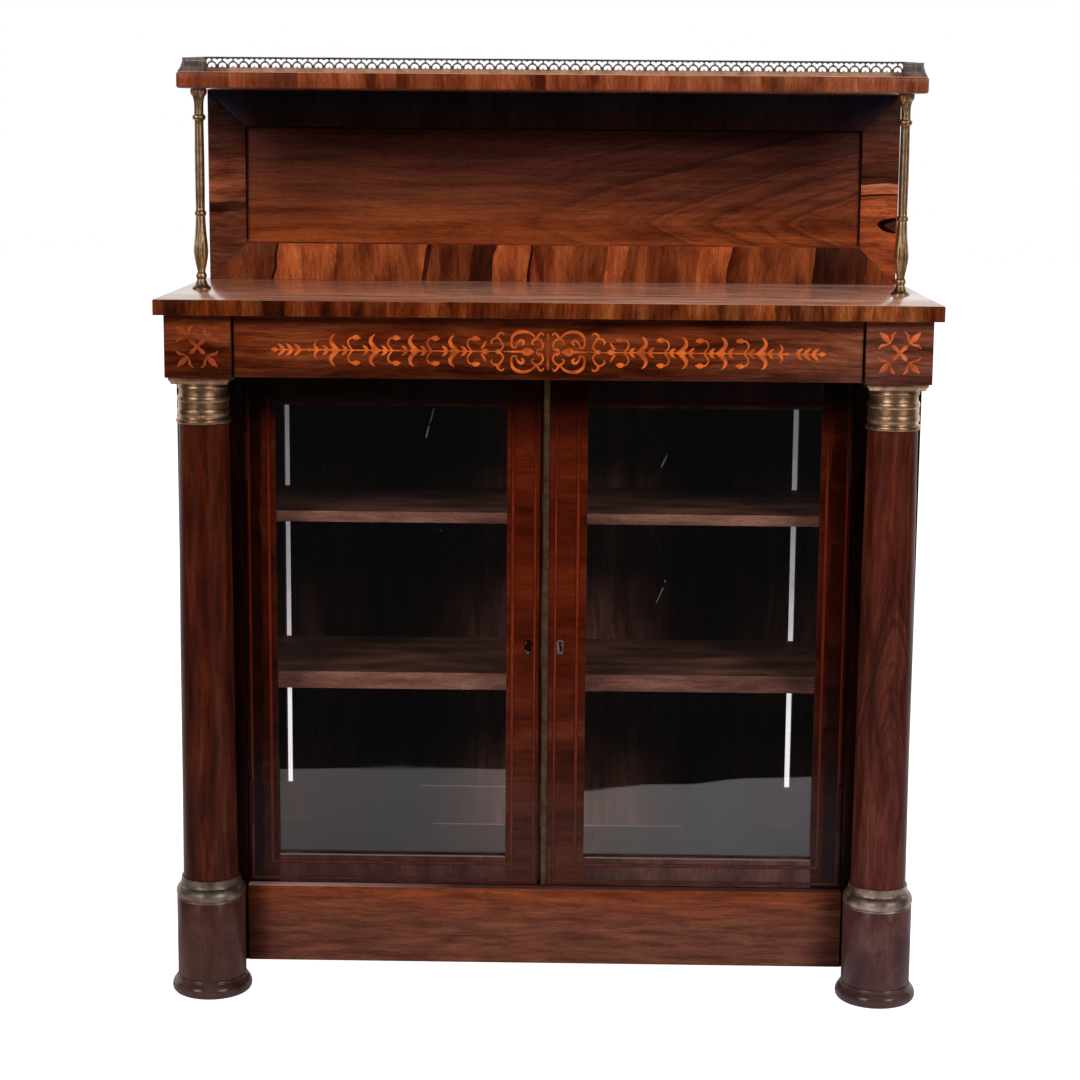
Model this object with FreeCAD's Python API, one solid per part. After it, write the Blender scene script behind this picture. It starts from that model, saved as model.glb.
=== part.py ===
import FreeCAD, Part
import math
import os

Vector = FreeCAD.Vector

# Rosewood chiffonier with columns, a pair of glazed doors and a brass-galleried shelf.
# Millimetres. X runs left to right, Y from front to back, Z up from the floor.
# The origin is the middle of the footprint, on the floor.

# ---- Main top board ----
board_width = 1000.0
board_depth = 426.0
board_thick = 20.0
board_height = 933.0
edge_ease = 1.0

# ---- Frieze: two column blocks with a drawer between them ----
frieze_height = 81.0
block_width = 85.0
block_overhang = 11.0
block_setback = 16.0

# ---- Columns, which stand free in front of the pilasters ----
turned_sides = 28
column_setback = 61.0
abacus_side = 78.5
abacus_thick = 8.8
capital_radius = 34.0
capital_swell = 1.8
capital_height = 52.7
shaft_top_radius = 32.5
shaft_foot_radius = 36.5
shaft_swell = 0.6
ring_neck_radius = 38.5
ring_fillet_radius = 39.9
ring_waist_radius = 41.1
ring_foot_radius = 46.0
ring_height = 29.7
drum_radius = 45.5
drum_height = 106.0
foot_radius = 53.2
foot_sole_radius = 46.0
foot_shoulder_radius = 49.8
foot_height = 24.5

# ---- Carcass ----
pilaster_setback = 108.0
pilaster_width = 86.5
pilaster_thick = 18.0
side_thick = 18.0
back_overhang = 4.0
back_thick = 18.0
dust_board_thick = 12.0
dust_board_lap = 1.0
floor_thick = 18.0
plinth_setback = 100.0
plinth_thick = 22.0
plinth_height = 132.0
plinth_lift = 26.7
rear_foot_side = 56.0

# ---- Shelves inside the cupboard ----
shelf_setback = 172.0
shelf_end_gap = 0.3
upper_shelf_top = 637.0
upper_shelf_thick = 15.0
lower_shelf_top = 414.5
lower_shelf_thick = 23.5
bearer_side = 12.0

# ---- Framed back: the boards have shrunk and left a slit at each side ----
back_left_stile = 85.5
back_right_stile = 113.5
back_top_rail = 70.0
back_bottom_rail_top = 189.0
slit_width = 6.0
back_board_thick = 10.0
back_board_count = 4
tongue_length = 5.0
tongue_thick = 3.0
tongue_gap = 0.4

# ---- Drawer ----
drawer_setback = 24.0
drawer_front_thick = 20.0
drawer_front_gap = 3.0
drawer_top_gap = 1.0
drawer_side_thick = 9.0
drawer_side_height = 58.0
drawer_back_gap = 10.0
drawer_box_inset = 8.0
drawer_bottom_thick = 4.0
drawer_bottom_rise = 5.0
drawer_groove = 4.0
running_gap = 0.3
guide_width = 10.0
guide_height = 12.0

# ---- Doors ----
door_setback = 115.0
door_thick = 22.0
door_side_gap = 1.2
door_top_gap = 1.5
door_bottom_gap = 1.5
meeting_shift = -6.45
meeting_gap = 1.5
hinge_stile = 40.0
left_meeting_stile = 46.3
right_meeting_stile = 58.7
top_rail = 43.0
bottom_rail = 38.0
quirk_width = 3.6
quirk_depth = 4.0
sight_lip = 8.0
glass_rebate = 8.0
glass_thick = 3.0
glass_gap = 1.0
glass_bead = 7.0
bead_setback = 1.0
astragal_width = 8.4
astragal_side = 1.6
astragal_rise = 3.4
door_stop_side = 8.0
door_stop_gap = 0.5
door_stop_clear_left = 60.0
door_stop_clear_right = 48.0

# ---- Hinges ----
knuckle_radius = 3.3
knuckle_sides = 12
pin_radius = 1.5
pin_clearance = 0.08
knuckle_gap = 0.4
knuckle_setoff = 0.5
knuckle_side_gap = 0.2
leaf_thick = 1.5
leaf_width = 11.0
hinge_height = 64.0
hinge_inset = 80.0
web_thick = 2.0

# ---- Lock, escutcheons and bolts ----
keyhole_height = 470.0
left_keyhole_x = -24.4
right_keyhole_x = 18.5
plate_width = 10.0
plate_foot_width = 7.2
plate_height = 20.0
plate_thick = 0.8
plate_steps = 6
keyhole_radius = 2.0
keyhole_slot = 2.2
keyhole_drop = 7.0
lock_width = 40.0
lock_height = 50.0
lock_thick = 12.0
lock_wall = 2.0
bolt_height = 14.0
bolt_lift = 4.0
bolt_thick = 5.0
bolt_clearance = 0.3
bolt_throw = 13.0
lock_edge = 4.7
rod_width = 8.0
rod_thick = 4.0
rod_clearance = 0.3
rod_length = 76.0
rod_x = -30.0
rod_throw = 12.0
rod_end_gap = 1.7
socket_clearance = 0.6
rod_plate_width = 18.0
rod_plate_length = 66.0
rod_plate_thick = 1.6
rod_plate_inset = 9.0
staple_height = 8.0
staple_wall = 2.0
rod_knob_side = 7.0
rod_knob_length = 9.0

# ---- Superstructure ----
alcove_height = 265.0
upper_board_thick = 21.5
upper_board_overhang = 5.0
upper_board_setback = 179.5
back_frame_thick = 18.0
back_frame_inset = 8.0
back_frame_side = 56.0
back_frame_foot = 51.5
back_frame_head = 49.5
panel_recess = 6.0
panel_thick = 8.0
panel_lap = 8.0
moulding_width = 4.5
moulding_rise = 4.0

# ---- Balusters ----
baluster_setback = 205.0
baluster_inset = 31.0
baluster_foot_radius = 12.5
baluster_shaft_radius = 6.2
baluster_vase_radius = 9.4
baluster_head_radius = 12.4
baluster_sides = 24

# ---- Pierced brass gallery ----
gallery_height = 25.5
gallery_strip = 10.5
gallery_thick = 1.8
gallery_rail = 1.8
gallery_rail_lip = 0.8
gallery_edge = 1.0
gallery_pitch = 15.3
gallery_front_gap = 4.0
gallery_rake = 46.0
gallery_fall = 6.0
gallery_sweep_run = 30.8
gallery_sweep_rise = 10.2
gallery_joint = 0.3
fret_bar = 2.0
arch_radius = 5.2
arch_spring = 4.1
scale_radius = 7.0
heart_point = 1.2
arch_steps = 3


# ---- Levels and planes that follow from the sizes above ----
front = -board_depth / 2
back = board_depth / 2
carcass_back = back - back_overhang
frieze_top = board_height - board_thick
frieze_foot = frieze_top - frieze_height
outer_x = board_width / 2 - block_overhang
block_x = outer_x - block_width
opening_x = outer_x - pilaster_width
side_x = outer_x - side_thick
column_x = outer_x - block_width / 2
column_y = front + column_setback
pilaster_y = front + pilaster_setback
carcass_y = pilaster_y + pilaster_thick
back_y = carcass_back - back_thick
door_y = front + door_setback
door_back = door_y + door_thick
door_x = opening_x - door_side_gap
door_foot = plinth_height + door_bottom_gap
door_head = frieze_foot - door_top_gap
glass_foot = door_foot + bottom_rail
glass_head = door_head - top_rail
left_meeting_x = meeting_shift - meeting_gap / 2
right_meeting_x = meeting_shift + meeting_gap / 2
alcove_top = board_height + alcove_height
upper_board_top = alcove_top + upper_board_thick


def slab(x_pair, y_pair, z_pair):
    """Square-edged block between three pairs of faces."""
    corner = Vector(min(x_pair), min(y_pair), min(z_pair))
    width = abs(x_pair[1] - x_pair[0])
    depth = abs(y_pair[1] - y_pair[0])
    height = abs(z_pair[1] - z_pair[0])
    return Part.makeBox(width, depth, height, corner)


def prism(points, direction):
    """Solid swept along a straight line from a closed outline."""
    outline = Part.makePolygon(points + [points[0]])
    return Part.Face(outline).extrude(direction)


def plan_prism(outline, z_pair):
    """Solid raised from an outline drawn on the floor plan."""
    points = [Vector(x, y, z_pair[0]) for x, y in outline]
    return prism(points, Vector(0, 0, z_pair[1] - z_pair[0]))


def front_prism(outline, y_pair):
    """Solid pushed back from an outline drawn on the front view."""
    points = [Vector(x, y_pair[0], z) for x, z in outline]
    return prism(points, Vector(0, y_pair[1] - y_pair[0], 0))


def corner_ring(x, y, radius, height, sides):
    """Evenly spaced points round an upright axis."""
    angles = [2 * math.pi * step / sides for step in range(sides)]
    return [Vector(x + radius * math.cos(a), y + radius * math.sin(a), height) for a in angles]


def turned(profile, x, y, sides):
    """Turned solid in narrow flats, from (radius, height) points that rise from foot to head."""
    rings = [corner_ring(x, y, radius, height, sides) for radius, height in profile]
    outlines = [rings[0], rings[-1]]
    for low, high in zip(rings, rings[1:]):
        for index in range(sides):
            outlines.append([low[index - 1], low[index], high[index], high[index - 1]])
    faces = [Part.Face(Part.makePolygon(points + [points[0]])) for points in outlines]
    solid = Part.makeSolid(Part.makeShell(faces))
    if solid.Volume < 0:
        solid.reverse()
    return solid


def upright_rod(x, y, radius, z_pair):
    """Round rod standing between two heights."""
    return Part.makeCylinder(radius, z_pair[1] - z_pair[0], Vector(x, y, z_pair[0]))


def save(node, solids):
    """Write one node's file from its solids."""
    shape = solids[0] if len(solids) == 1 else Part.makeCompound(solids)
    shape.exportStep("parts/" + node + ".step")


def side_name(side):
    return "left" if side < 0 else "right"


# ---- Boards ----
def eased_board(half_width, y_pair, z_pair):
    """Veneered board with its sharp edges taken off all round."""
    board = slab((-half_width, half_width), y_pair, z_pair)
    return board.makeChamfer(edge_ease, board.Edges)


def stepped_board(y_front, half_front, y_step, half_back, y_end, z_pair):
    """Board that is narrow between the pilasters and full width behind them."""
    outline = [
        (-half_front, y_front),
        (half_front, y_front),
        (half_front, y_step),
        (half_back, y_step),
        (half_back, y_end),
        (-half_back, y_end),
        (-half_back, y_step),
        (-half_front, y_step),
    ]
    return plan_prism(outline, z_pair)


def rod_space(gap, z_pair):
    """The flat door bolt's section with a gap round it."""
    x_pair = (rod_x - rod_width / 2 - gap, rod_x + rod_width / 2 + gap)
    y_pair = (rod_y - gap, rod_y + rod_thick + gap)
    return slab(x_pair, y_pair, z_pair)


# ---- Columns ----
def risen(marks, foot, height):
    """Lathe profile from radii and shares of the height."""
    return [(radius, foot + share * height) for radius, share in marks]


def capital_profile():
    """Two swelling bands over a flared flange."""
    body = capital_radius - capital_swell
    flange = capital_radius + capital_swell
    marks = [
        (flange, 0),
        (flange, 0.05),
        (body, 0.15),
        (body, 0.3),
        (capital_radius, 0.4),
        (body, 0.56),
        (body, 0.64),
        (capital_radius, 0.76),
        (body, 1),
    ]
    return risen(marks, capital_foot, capital_height)


def shaft(x):
    """Round tapering shaft with a slight swell, all one curve from ring to capital."""
    middle_radius = (shaft_foot_radius + shaft_top_radius) / 2 + shaft_swell
    foot = Vector(x + shaft_foot_radius, column_y, shaft_foot)
    middle = Vector(x + middle_radius, column_y, (shaft_foot + capital_foot) / 2)
    head = Vector(x + shaft_top_radius, column_y, capital_foot)
    axis_foot = Vector(x, column_y, shaft_foot)
    axis_head = Vector(x, column_y, capital_foot)
    ends = Part.makePolygon([head, axis_head, axis_foot, foot])
    curve = Part.Arc(foot, middle, head).toShape()
    face = Part.Face(Part.Wire([curve] + ends.Edges))
    return face.revolve(axis_foot, Vector(0, 0, 1), 360)


def ring_profile():
    """Brass base ring: an upper fillet, a hollow and a broad lower bead."""
    marks = [
        (ring_foot_radius, 0),
        (ring_foot_radius, 0.34),
        (ring_waist_radius, 0.52),
        (ring_fillet_radius, 0.8),
        (ring_neck_radius, 1),
    ]
    return risen(marks, drum_head, ring_height)


def foot_profile():
    """Flattened bun foot."""
    marks = [
        (foot_sole_radius, 0),
        (foot_radius, 0.32),
        (foot_radius, 0.62),
        (foot_shoulder_radius, 0.92),
        (drum_radius, 1),
    ]
    return risen(marks, 0, foot_height)


drum_head = foot_height + drum_height
shaft_foot = drum_head + ring_height
abacus_foot = frieze_foot - abacus_thick
capital_foot = abacus_foot - capital_height


# ---- Doors ----
def door_edges(side):
    """Hinge edge and meeting edge of one door."""
    meeting = left_meeting_x if side < 0 else right_meeting_x
    return side * door_x, meeting


def glass_edges(side):
    """Hinge-side and meeting-side edges of one door's glass opening."""
    hinge_edge, meeting_edge = door_edges(side)
    meeting_stile = left_meeting_stile if side < 0 else right_meeting_stile
    return hinge_edge - side * hinge_stile, meeting_edge + side * meeting_stile


def stile(outer, inner, away):
    """Upright frame member with the glass rebate at its back; away points off the glass."""
    lip_back = door_y + sight_lip
    outline = [
        (outer, door_y),
        (inner, door_y),
        (inner, lip_back),
        (inner + away * glass_rebate, lip_back),
        (inner + away * glass_rebate, door_back),
        (outer, door_back),
    ]
    return plan_prism(outline, (door_foot, door_head))


def rail(side, outer, inner, up):
    """Level frame member between the stiles; up points off the glass."""
    low, high = sorted(glass_edges(side))
    lip_back = door_y + sight_lip
    lip = slab((low, high), (door_y, lip_back), (outer, inner))
    body_x = (low - glass_rebate, high + glass_rebate)
    body = slab(body_x, (lip_back, door_back), (outer, inner + up * glass_rebate))
    return lip.fuse(body).removeSplitter()


def glass_pane(side):
    """Flat pane held in the rebate."""
    low, high = sorted(glass_edges(side))
    lap = glass_rebate - glass_gap
    x_pair = (low - lap, high + lap)
    y_pair = (door_y + sight_lip, door_y + sight_lip + glass_thick)
    return slab(x_pair, y_pair, (glass_foot - lap, glass_head + lap))


def bead_strips(side):
    """Four square-backed beads that hold the pane from behind, mitred at the corners."""
    low, high = sorted(glass_edges(side))
    y_pair = (door_y + sight_lip + glass_thick, door_back - bead_setback)
    outer = (low - glass_rebate, high + glass_rebate, glass_foot - glass_rebate, glass_head + glass_rebate)
    return mitred_frame(outer, (glass_bead,) * 4, y_pair)


def mitred_frame(outer, widths, y_pair):
    """Four members with mitred corners: left, right, foot and head of a rectangle."""
    x0, x1, z0, z1 = outer
    left, right, foot, head = widths
    inner = (x0 + left, x1 - right, z0 + foot, z1 - head)
    u0, u1, w0, w1 = inner
    outlines = [
        [(x0, z0), (u0, w0), (u0, w1), (x0, z1)],
        [(x1, z0), (x1, z1), (u1, w1), (u1, w0)],
        [(x0, z0), (x1, z0), (u1, w0), (u0, w0)],
        [(x0, z1), (u0, w1), (u1, w1), (x1, z1)],
    ]
    return [front_prism(outline, y_pair) for outline in outlines]


def keyhole(x, y_pair):
    """Round eye with a straight slot below it."""
    axis = Vector(0, 1, 0)
    depth = y_pair[1] - y_pair[0]
    eye = Part.makeCylinder(keyhole_radius, depth, Vector(x, y_pair[0], keyhole_height), axis)
    slot_x = (x - keyhole_slot / 2, x + keyhole_slot / 2)
    slot = slab(slot_x, y_pair, (keyhole_height - keyhole_drop, keyhole_height))
    return eye.fuse(slot)


def escutcheon(x):
    """Thin brass plate with a round head and a tapering skirt, pierced by the keyhole."""
    y_pair = (door_y - plate_thick, door_y)
    radius = plate_width / 2
    head_z = keyhole_height
    skirt_z = head_z + radius - plate_height
    angles = arch_angles(plate_steps)
    outline = [(x - radius * math.cos(a), head_z + radius * math.sin(a)) for a in angles]
    outline += [(x + plate_foot_width / 2, skirt_z), (x - plate_foot_width / 2, skirt_z)]
    return front_prism(outline, y_pair).cut(keyhole(x, y_pair))


def arch_angles(steps):
    """Evenly spaced angles over a half turn."""
    return [math.pi * step / steps for step in range(steps + 1)]


# ---- Hinges ----
def hinge_heights():
    """Middle height of the lower and the upper hinge."""
    return [door_foot + hinge_inset + hinge_height / 2, door_head - hinge_inset - hinge_height / 2]


knuckle_y = door_y - knuckle_radius - knuckle_setoff
knuckle_x = opening_x - knuckle_radius - knuckle_side_gap


def leaf_pocket(face_x, side, y_front, middle):
    """Space that a hinge leaf takes behind a face, sunk flush with it."""
    x_pair = (face_x, face_x + side * leaf_thick)
    z_pair = (middle - hinge_height / 2, middle + hinge_height / 2)
    return slab(x_pair, (y_front, door_y + leaf_width), z_pair)


def knuckle_bounds(middle):
    """Heights of the lower, middle and upper knuckle of one hinge."""
    third = hinge_height / 3
    foot = middle - hinge_height / 2
    lower = (foot, foot + third - knuckle_gap / 2)
    centre = (foot + third + knuckle_gap / 2, foot + 2 * third - knuckle_gap / 2)
    upper = (foot + 2 * third + knuckle_gap / 2, foot + hinge_height)
    return lower, centre, upper


def knuckle(side, z_pair):
    """Barrel of one knuckle, in narrow flats."""
    profile = [(knuckle_radius, z_pair[0]), (knuckle_radius, z_pair[1])]
    return turned(profile, side * knuckle_x, knuckle_y, knuckle_sides)


def fixed_hinge(side, middle):
    """Leaf let into the pilaster, with the two outer knuckles and the pin through all three."""
    knuckles = knuckle_bounds(middle)
    hinge = leaf_pocket(side * opening_x, side, knuckle_y - web_thick / 2, middle)
    y_pair = (knuckle_y - web_thick / 2, knuckle_y + web_thick / 2)
    for z_pair in (knuckles[0], knuckles[2]):
        web = slab((side * opening_x, side * knuckle_x), y_pair, z_pair)
        barrel = knuckle(side, z_pair)
        hinge = hinge.fuse(web).fuse(barrel)
    pin = upright_rod(side * knuckle_x, knuckle_y, pin_radius, (knuckles[0][0], knuckles[2][1]))
    return hinge.fuse(pin).removeSplitter()


def moving_hinge(side, middle):
    """Leaf let into the door's edge, with the middle knuckle bored for the pin."""
    centre = knuckle_bounds(middle)[1]
    hinge = leaf_pocket(side * door_x, -side, door_y, middle)
    web_x = (side * door_x, side * (door_x - leaf_thick))
    web = slab(web_x, (knuckle_y, door_y), centre)
    barrel = knuckle(side, centre)
    bore = upright_rod(side * knuckle_x, knuckle_y, pin_radius + pin_clearance, centre)
    return hinge.fuse(web).fuse(barrel).cut(bore).removeSplitter()


def door_nodes(side):
    """All the pieces of one door apart from its lock and bolts."""
    name = side_name(side)
    hinge_edge, meeting_edge = door_edges(side)
    hinge_sight, meeting_sight = glass_edges(side)
    outer_stile = stile(hinge_edge, hinge_sight, side)
    inner_stile = stile(meeting_edge, meeting_sight, -side)
    for middle in hinge_heights():
        outer_stile = outer_stile.cut(leaf_pocket(side * door_x, -side, door_y, middle))
    keyhole_x = left_keyhole_x if side < 0 else right_keyhole_x
    inner_stile = inner_stile.cut(keyhole(keyhole_x, (door_y, door_back)))
    if side < 0:
        quirk_x = (meeting_edge - quirk_width, meeting_edge)
        quirk_y = (door_y, door_y + quirk_depth)
        inner_stile = inner_stile.cut(slab(quirk_x, quirk_y, (door_foot, door_head)))
    save(name + "_door_stiles", [outer_stile, inner_stile])
    foot_rail = rail(side, door_foot, glass_foot, -1)
    head_rail = rail(side, door_head, glass_head, 1)
    save(name + "_door_rails", [foot_rail, head_rail])
    save(name + "_door_glass", [glass_pane(side)])
    save(name + "_door_beads", bead_strips(side))
    save(name + "_escutcheon", [escutcheon(keyhole_x)])
    save(name + "_hinge_door_leaves", [moving_hinge(side, middle) for middle in hinge_heights()])
    save(name + "_hinge_case_leaves", [fixed_hinge(side, middle) for middle in hinge_heights()])


def astragal():
    """Brass half-round strip planted on the right door's meeting edge."""
    edge = right_meeting_x
    far = edge + astragal_width
    shoulder = door_y - astragal_side
    crown = Vector((edge + far) / 2, door_y - astragal_rise, door_foot)
    corners = [(edge, shoulder), (edge, door_y), (far, door_y), (far, shoulder)]
    points = [Vector(x, y, door_foot) for x, y in corners]
    flat = Part.makePolygon(points)
    curve = Part.Arc(points[-1], crown, points[0]).toShape()
    face = Part.Face(Part.Wire(flat.Edges + [curve]))
    return face.extrude(Vector(0, 0, door_head - door_foot))


# ---- Lock and bolts ----
lock_x = right_meeting_x + lock_edge
lock_z = (keyhole_height - lock_height / 2, keyhole_height + lock_height / 2)
bolt_y = (door_back + lock_wall + bolt_clearance, door_back + lock_wall + bolt_clearance + bolt_thick)
bolt_z = (keyhole_height + bolt_lift, keyhole_height + bolt_lift + bolt_height)
rod_y = door_back + rod_plate_thick + rod_clearance


def lock_case():
    """Rim lock's case with the channel that its bolt slides in."""
    case = slab((lock_x, lock_x + lock_width), (door_back, door_back + lock_thick), lock_z)
    channel_x = (lock_x, lock_x + lock_width - lock_wall)
    channel_y = (bolt_y[0] - bolt_clearance, bolt_y[1] + bolt_clearance)
    channel_z = (bolt_z[0] - bolt_clearance, bolt_z[1] + bolt_clearance)
    return case.cut(slab(channel_x, channel_y, channel_z))


def lock_bolt():
    """Flat bolt drawn back level with the case."""
    length = lock_width - lock_wall - bolt_throw
    return slab((lock_x, lock_x + length), bolt_y, bolt_z)


def rod_ends(up):
    """End of a drawn-back rod at the top (up = 1) or the foot (up = -1) of the door."""
    tip = frieze_foot - rod_end_gap if up > 0 else plinth_height + rod_end_gap
    return tip, tip - up * rod_length


def rod_plate(up):
    """Back plate with two staples that the flat bolt slides through."""
    near = rod_ends(up)[0] - up * rod_plate_inset
    far = near - up * rod_plate_length
    plate_x = (rod_x - rod_plate_width / 2, rod_x + rod_plate_width / 2)
    plate = slab(plate_x, (door_back, door_back + rod_plate_thick), (near, far))
    half = rod_width / 2 + rod_clearance + staple_wall
    staple_y = (door_back + rod_plate_thick, rod_y + rod_thick + rod_clearance + staple_wall)
    for start in (near, far + up * staple_height):
        block = slab((rod_x - half, rod_x + half), staple_y, (start, start - up * staple_height))
        plate = plate.fuse(block)
    return plate.cut(rod_space(rod_clearance, (near, far))).removeSplitter()


def rod_bolt(up):
    """Flat bolt with a square knob that points into the cupboard."""
    tip, tail = rod_ends(up)
    middle = (tip + tail) / 2
    half = rod_knob_side / 2
    knob_y = (rod_y, rod_y + rod_thick + rod_knob_length)
    knob = slab((rod_x - half, rod_x + half), knob_y, (middle - half, middle + half))
    return rod_space(0, (tip, tail)).fuse(knob)


# ---- Drawer ----
drawer_foot = frieze_foot + dust_board_thick + running_gap
drawer_y = front + drawer_setback
drawer_box_y = drawer_y + drawer_front_thick
drawer_back = back_y - drawer_back_gap
drawer_front_x = block_x - drawer_front_gap
drawer_box_x = block_x - drawer_box_inset
drawer_side_top = drawer_foot + drawer_side_height
drawer_floor = drawer_foot + drawer_bottom_rise + drawer_bottom_thick


def drawer_bottom_board():
    """Thin bottom held in grooves in the sides and the front."""
    reach = drawer_box_x - drawer_side_thick + drawer_groove
    y_pair = (drawer_box_y - drawer_groove, drawer_back)
    return slab((-reach, reach), y_pair, (drawer_foot + drawer_bottom_rise, drawer_floor))


def drawer_nodes():
    """Drawer front, the two sides with the back between them, and the bottom."""
    bottom = drawer_bottom_board()
    face_z = (frieze_foot + drawer_top_gap, frieze_top - drawer_top_gap)
    face = slab((-drawer_front_x, drawer_front_x), (drawer_y, drawer_box_y), face_z)
    save("drawer_front", [face.cut(bottom)])
    inner = drawer_box_x - drawer_side_thick
    walls = []
    for side in (-1, 1):
        wall_x = (side * inner, side * drawer_box_x)
        wall = slab(wall_x, (drawer_box_y, drawer_back), (drawer_foot, drawer_side_top))
        walls.append(wall.cut(bottom))
    tail_y = (drawer_back - drawer_side_thick, drawer_back)
    tail = slab((-inner, inner), tail_y, (drawer_floor, drawer_side_top))
    save("drawer_sides", walls)
    save("drawer_back", [tail])
    save("drawer_bottom", [bottom])


# ---- Balusters ----
def baluster_profile():
    """Flared foot, ball, vase, collar, slender shaft, collar and trumpet head."""
    marks = [
        (baluster_foot_radius, 0),
        (baluster_foot_radius, 0.008),
        (baluster_shaft_radius, 0.04),
        (baluster_shaft_radius + 1.2, 0.065),
        (baluster_shaft_radius, 0.09),
        (baluster_vase_radius, 0.165),
        (baluster_vase_radius - 0.6, 0.225),
        (baluster_shaft_radius, 0.365),
        (baluster_shaft_radius + 1.6, 0.382),
        (baluster_shaft_radius, 0.4),
        (baluster_shaft_radius - 0.2, 0.84),
        (baluster_shaft_radius + 2.4, 0.857),
        (baluster_shaft_radius + 0.6, 0.875),
        (baluster_shaft_radius + 1.5, 0.955),
        (baluster_head_radius, 1),
    ]
    return risen(marks, board_height, alcove_height)


# ---- Gallery ----
def arch_hole(centre, foot):
    """Round-headed opening between two posts."""
    spring = foot + arch_spring
    angles = arch_angles(arch_steps)
    hole = [(centre + arch_radius * math.cos(a), spring + arch_radius * math.sin(a)) for a in angles]
    return hole + [(centre - arch_radius, foot), (centre + arch_radius, foot)]


def heart_hole(centre, pitch, foot, head):
    """Shield between two arches: straight sides, and a point where the arches meet below it."""
    half = pitch / 2
    side = half - fret_bar / 2
    shoulder = foot + arch_spring + scale_radius * math.sin(math.acos(fret_bar / 2 / scale_radius))
    tip = foot + arch_spring + heart_point
    left = [(centre - side, head), (centre - side, shoulder)]
    right = [(centre + side, shoulder), (centre + side, head)]
    return left + [(centre, tip)] + right


def fret_holes(length, foot, head):
    """Openings of a run of fretwork that starts at zero: arches below, hearts between them above."""
    count = max(2, round(length / gallery_pitch))
    pitch = length / count
    arches = [arch_hole((index + 0.5) * pitch, foot) for index in range(count)]
    hearts = [heart_hole((index + 1) * pitch, pitch, foot, head) for index in range(count - 1)]
    return arches + hearts


def pierced_strip(outline, holes, origin, along, thickness):
    """Upright strip of brass with openings sawn through it."""
    wires = []
    for ring in [outline] + holes:
        points = [origin + along * run + Vector(0, 0, height) for run, height in ring]
        wires.append(Part.makePolygon(points + [points[0]]))
    face = Part.makeFace(wires, "Part::FaceMakerBullseye")
    return face.extrude(thickness)


def lowered(points, foot, rear, length):
    """Outline points brought down more the further they are from the back end of a return."""
    share = gallery_fall / gallery_height / length
    return [(y, foot + (z - foot) * (1 - share * (rear - y))) for y, z in points]


def gallery_nodes():
    """Back strip across the shelf, and along each end a return that falls and sweeps down."""
    foot = upper_board_top
    top = foot + gallery_height
    fret_foot = foot + gallery_strip
    fret_head = top - gallery_rail
    half = board_width / 2 - upper_board_overhang - gallery_edge
    rear = back - gallery_edge
    lip = gallery_rail_lip
    rail_width = gallery_thick + 2 * lip

    inner = half - gallery_thick - gallery_joint
    run = 2 * (inner - gallery_edge)
    outline = [(-inner, foot), (inner, foot), (inner, top), (-inner, top)]
    holes = [[(x - run / 2, z) for x, z in ring] for ring in fret_holes(run, fret_foot, fret_head)]
    inward = Vector(0, -gallery_thick, 0)
    back_strip = pierced_strip(outline, holes, Vector(0, rear, 0), Vector(1, 0, 0), inward)
    rail_y = (rear + lip, rear - gallery_thick - lip)
    back_rail = slab((-inner + lip, inner - lip), rail_y, (fret_head, top))
    save("gallery_back", [back_strip.fuse(back_rail).removeSplitter()])

    start = front + upper_board_setback + gallery_front_gap
    level = start + gallery_rake
    side_run = rear - level - gallery_edge
    band = [(level, fret_head), (rear, fret_head), (rear, top), (level, top)]
    band = lowered(band, foot, rear, rear - level)
    sweep = [(start + gallery_sweep_run, foot + gallery_sweep_rise), (start, foot + gallery_edge)]
    outline = [(start, foot), (rear, foot)] + band[2:] + sweep
    holes = [[(y + level, z) for y, z in ring] for ring in fret_holes(side_run, fret_foot, fret_head)]
    holes = [lowered(ring, foot, rear, rear - level) for ring in holes]
    for side in (-1, 1):
        face_x = side * half
        inward = Vector(-side * gallery_thick, 0, 0)
        strip = pierced_strip(outline, holes, Vector(face_x, 0, 0), Vector(0, 1, 0), inward)
        rail_x = face_x + side * lip
        rail = prism([Vector(rail_x, y, z) for y, z in band], Vector(-side * rail_width, 0, 0))
        save("gallery_" + side_name(side), [strip.fuse(rail).removeSplitter()])


# ---- Back of the cupboard ----
def back_boards(x_pair, z_pair):
    """Upright boards, tongued and grooved edge to edge."""
    width = (x_pair[1] - x_pair[0]) / back_board_count
    y0 = back_y + (back_thick - back_board_thick) / 2
    y1 = y0 + back_board_thick
    middle = (y0 + y1) / 2
    boards = []
    for index in range(back_board_count):
        low = x_pair[0] + index * width
        high = low + width
        outline = [(low, y0), (high, y0)]
        if index < back_board_count - 1:
            outline += [
                (high, middle - tongue_thick / 2),
                (high + tongue_length, middle - tongue_thick / 2),
                (high + tongue_length, middle + tongue_thick / 2),
                (high, middle + tongue_thick / 2),
            ]
        outline += [(high, y1), (low, y1)]
        if index > 0:
            groove = tongue_thick / 2 + tongue_gap
            depth = tongue_length + tongue_gap
            outline += [
                (low, middle + groove),
                (low + depth, middle + groove),
                (low + depth, middle - groove),
                (low, middle - groove),
            ]
        boards.append(plan_prism(outline, z_pair))
    return boards


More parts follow.
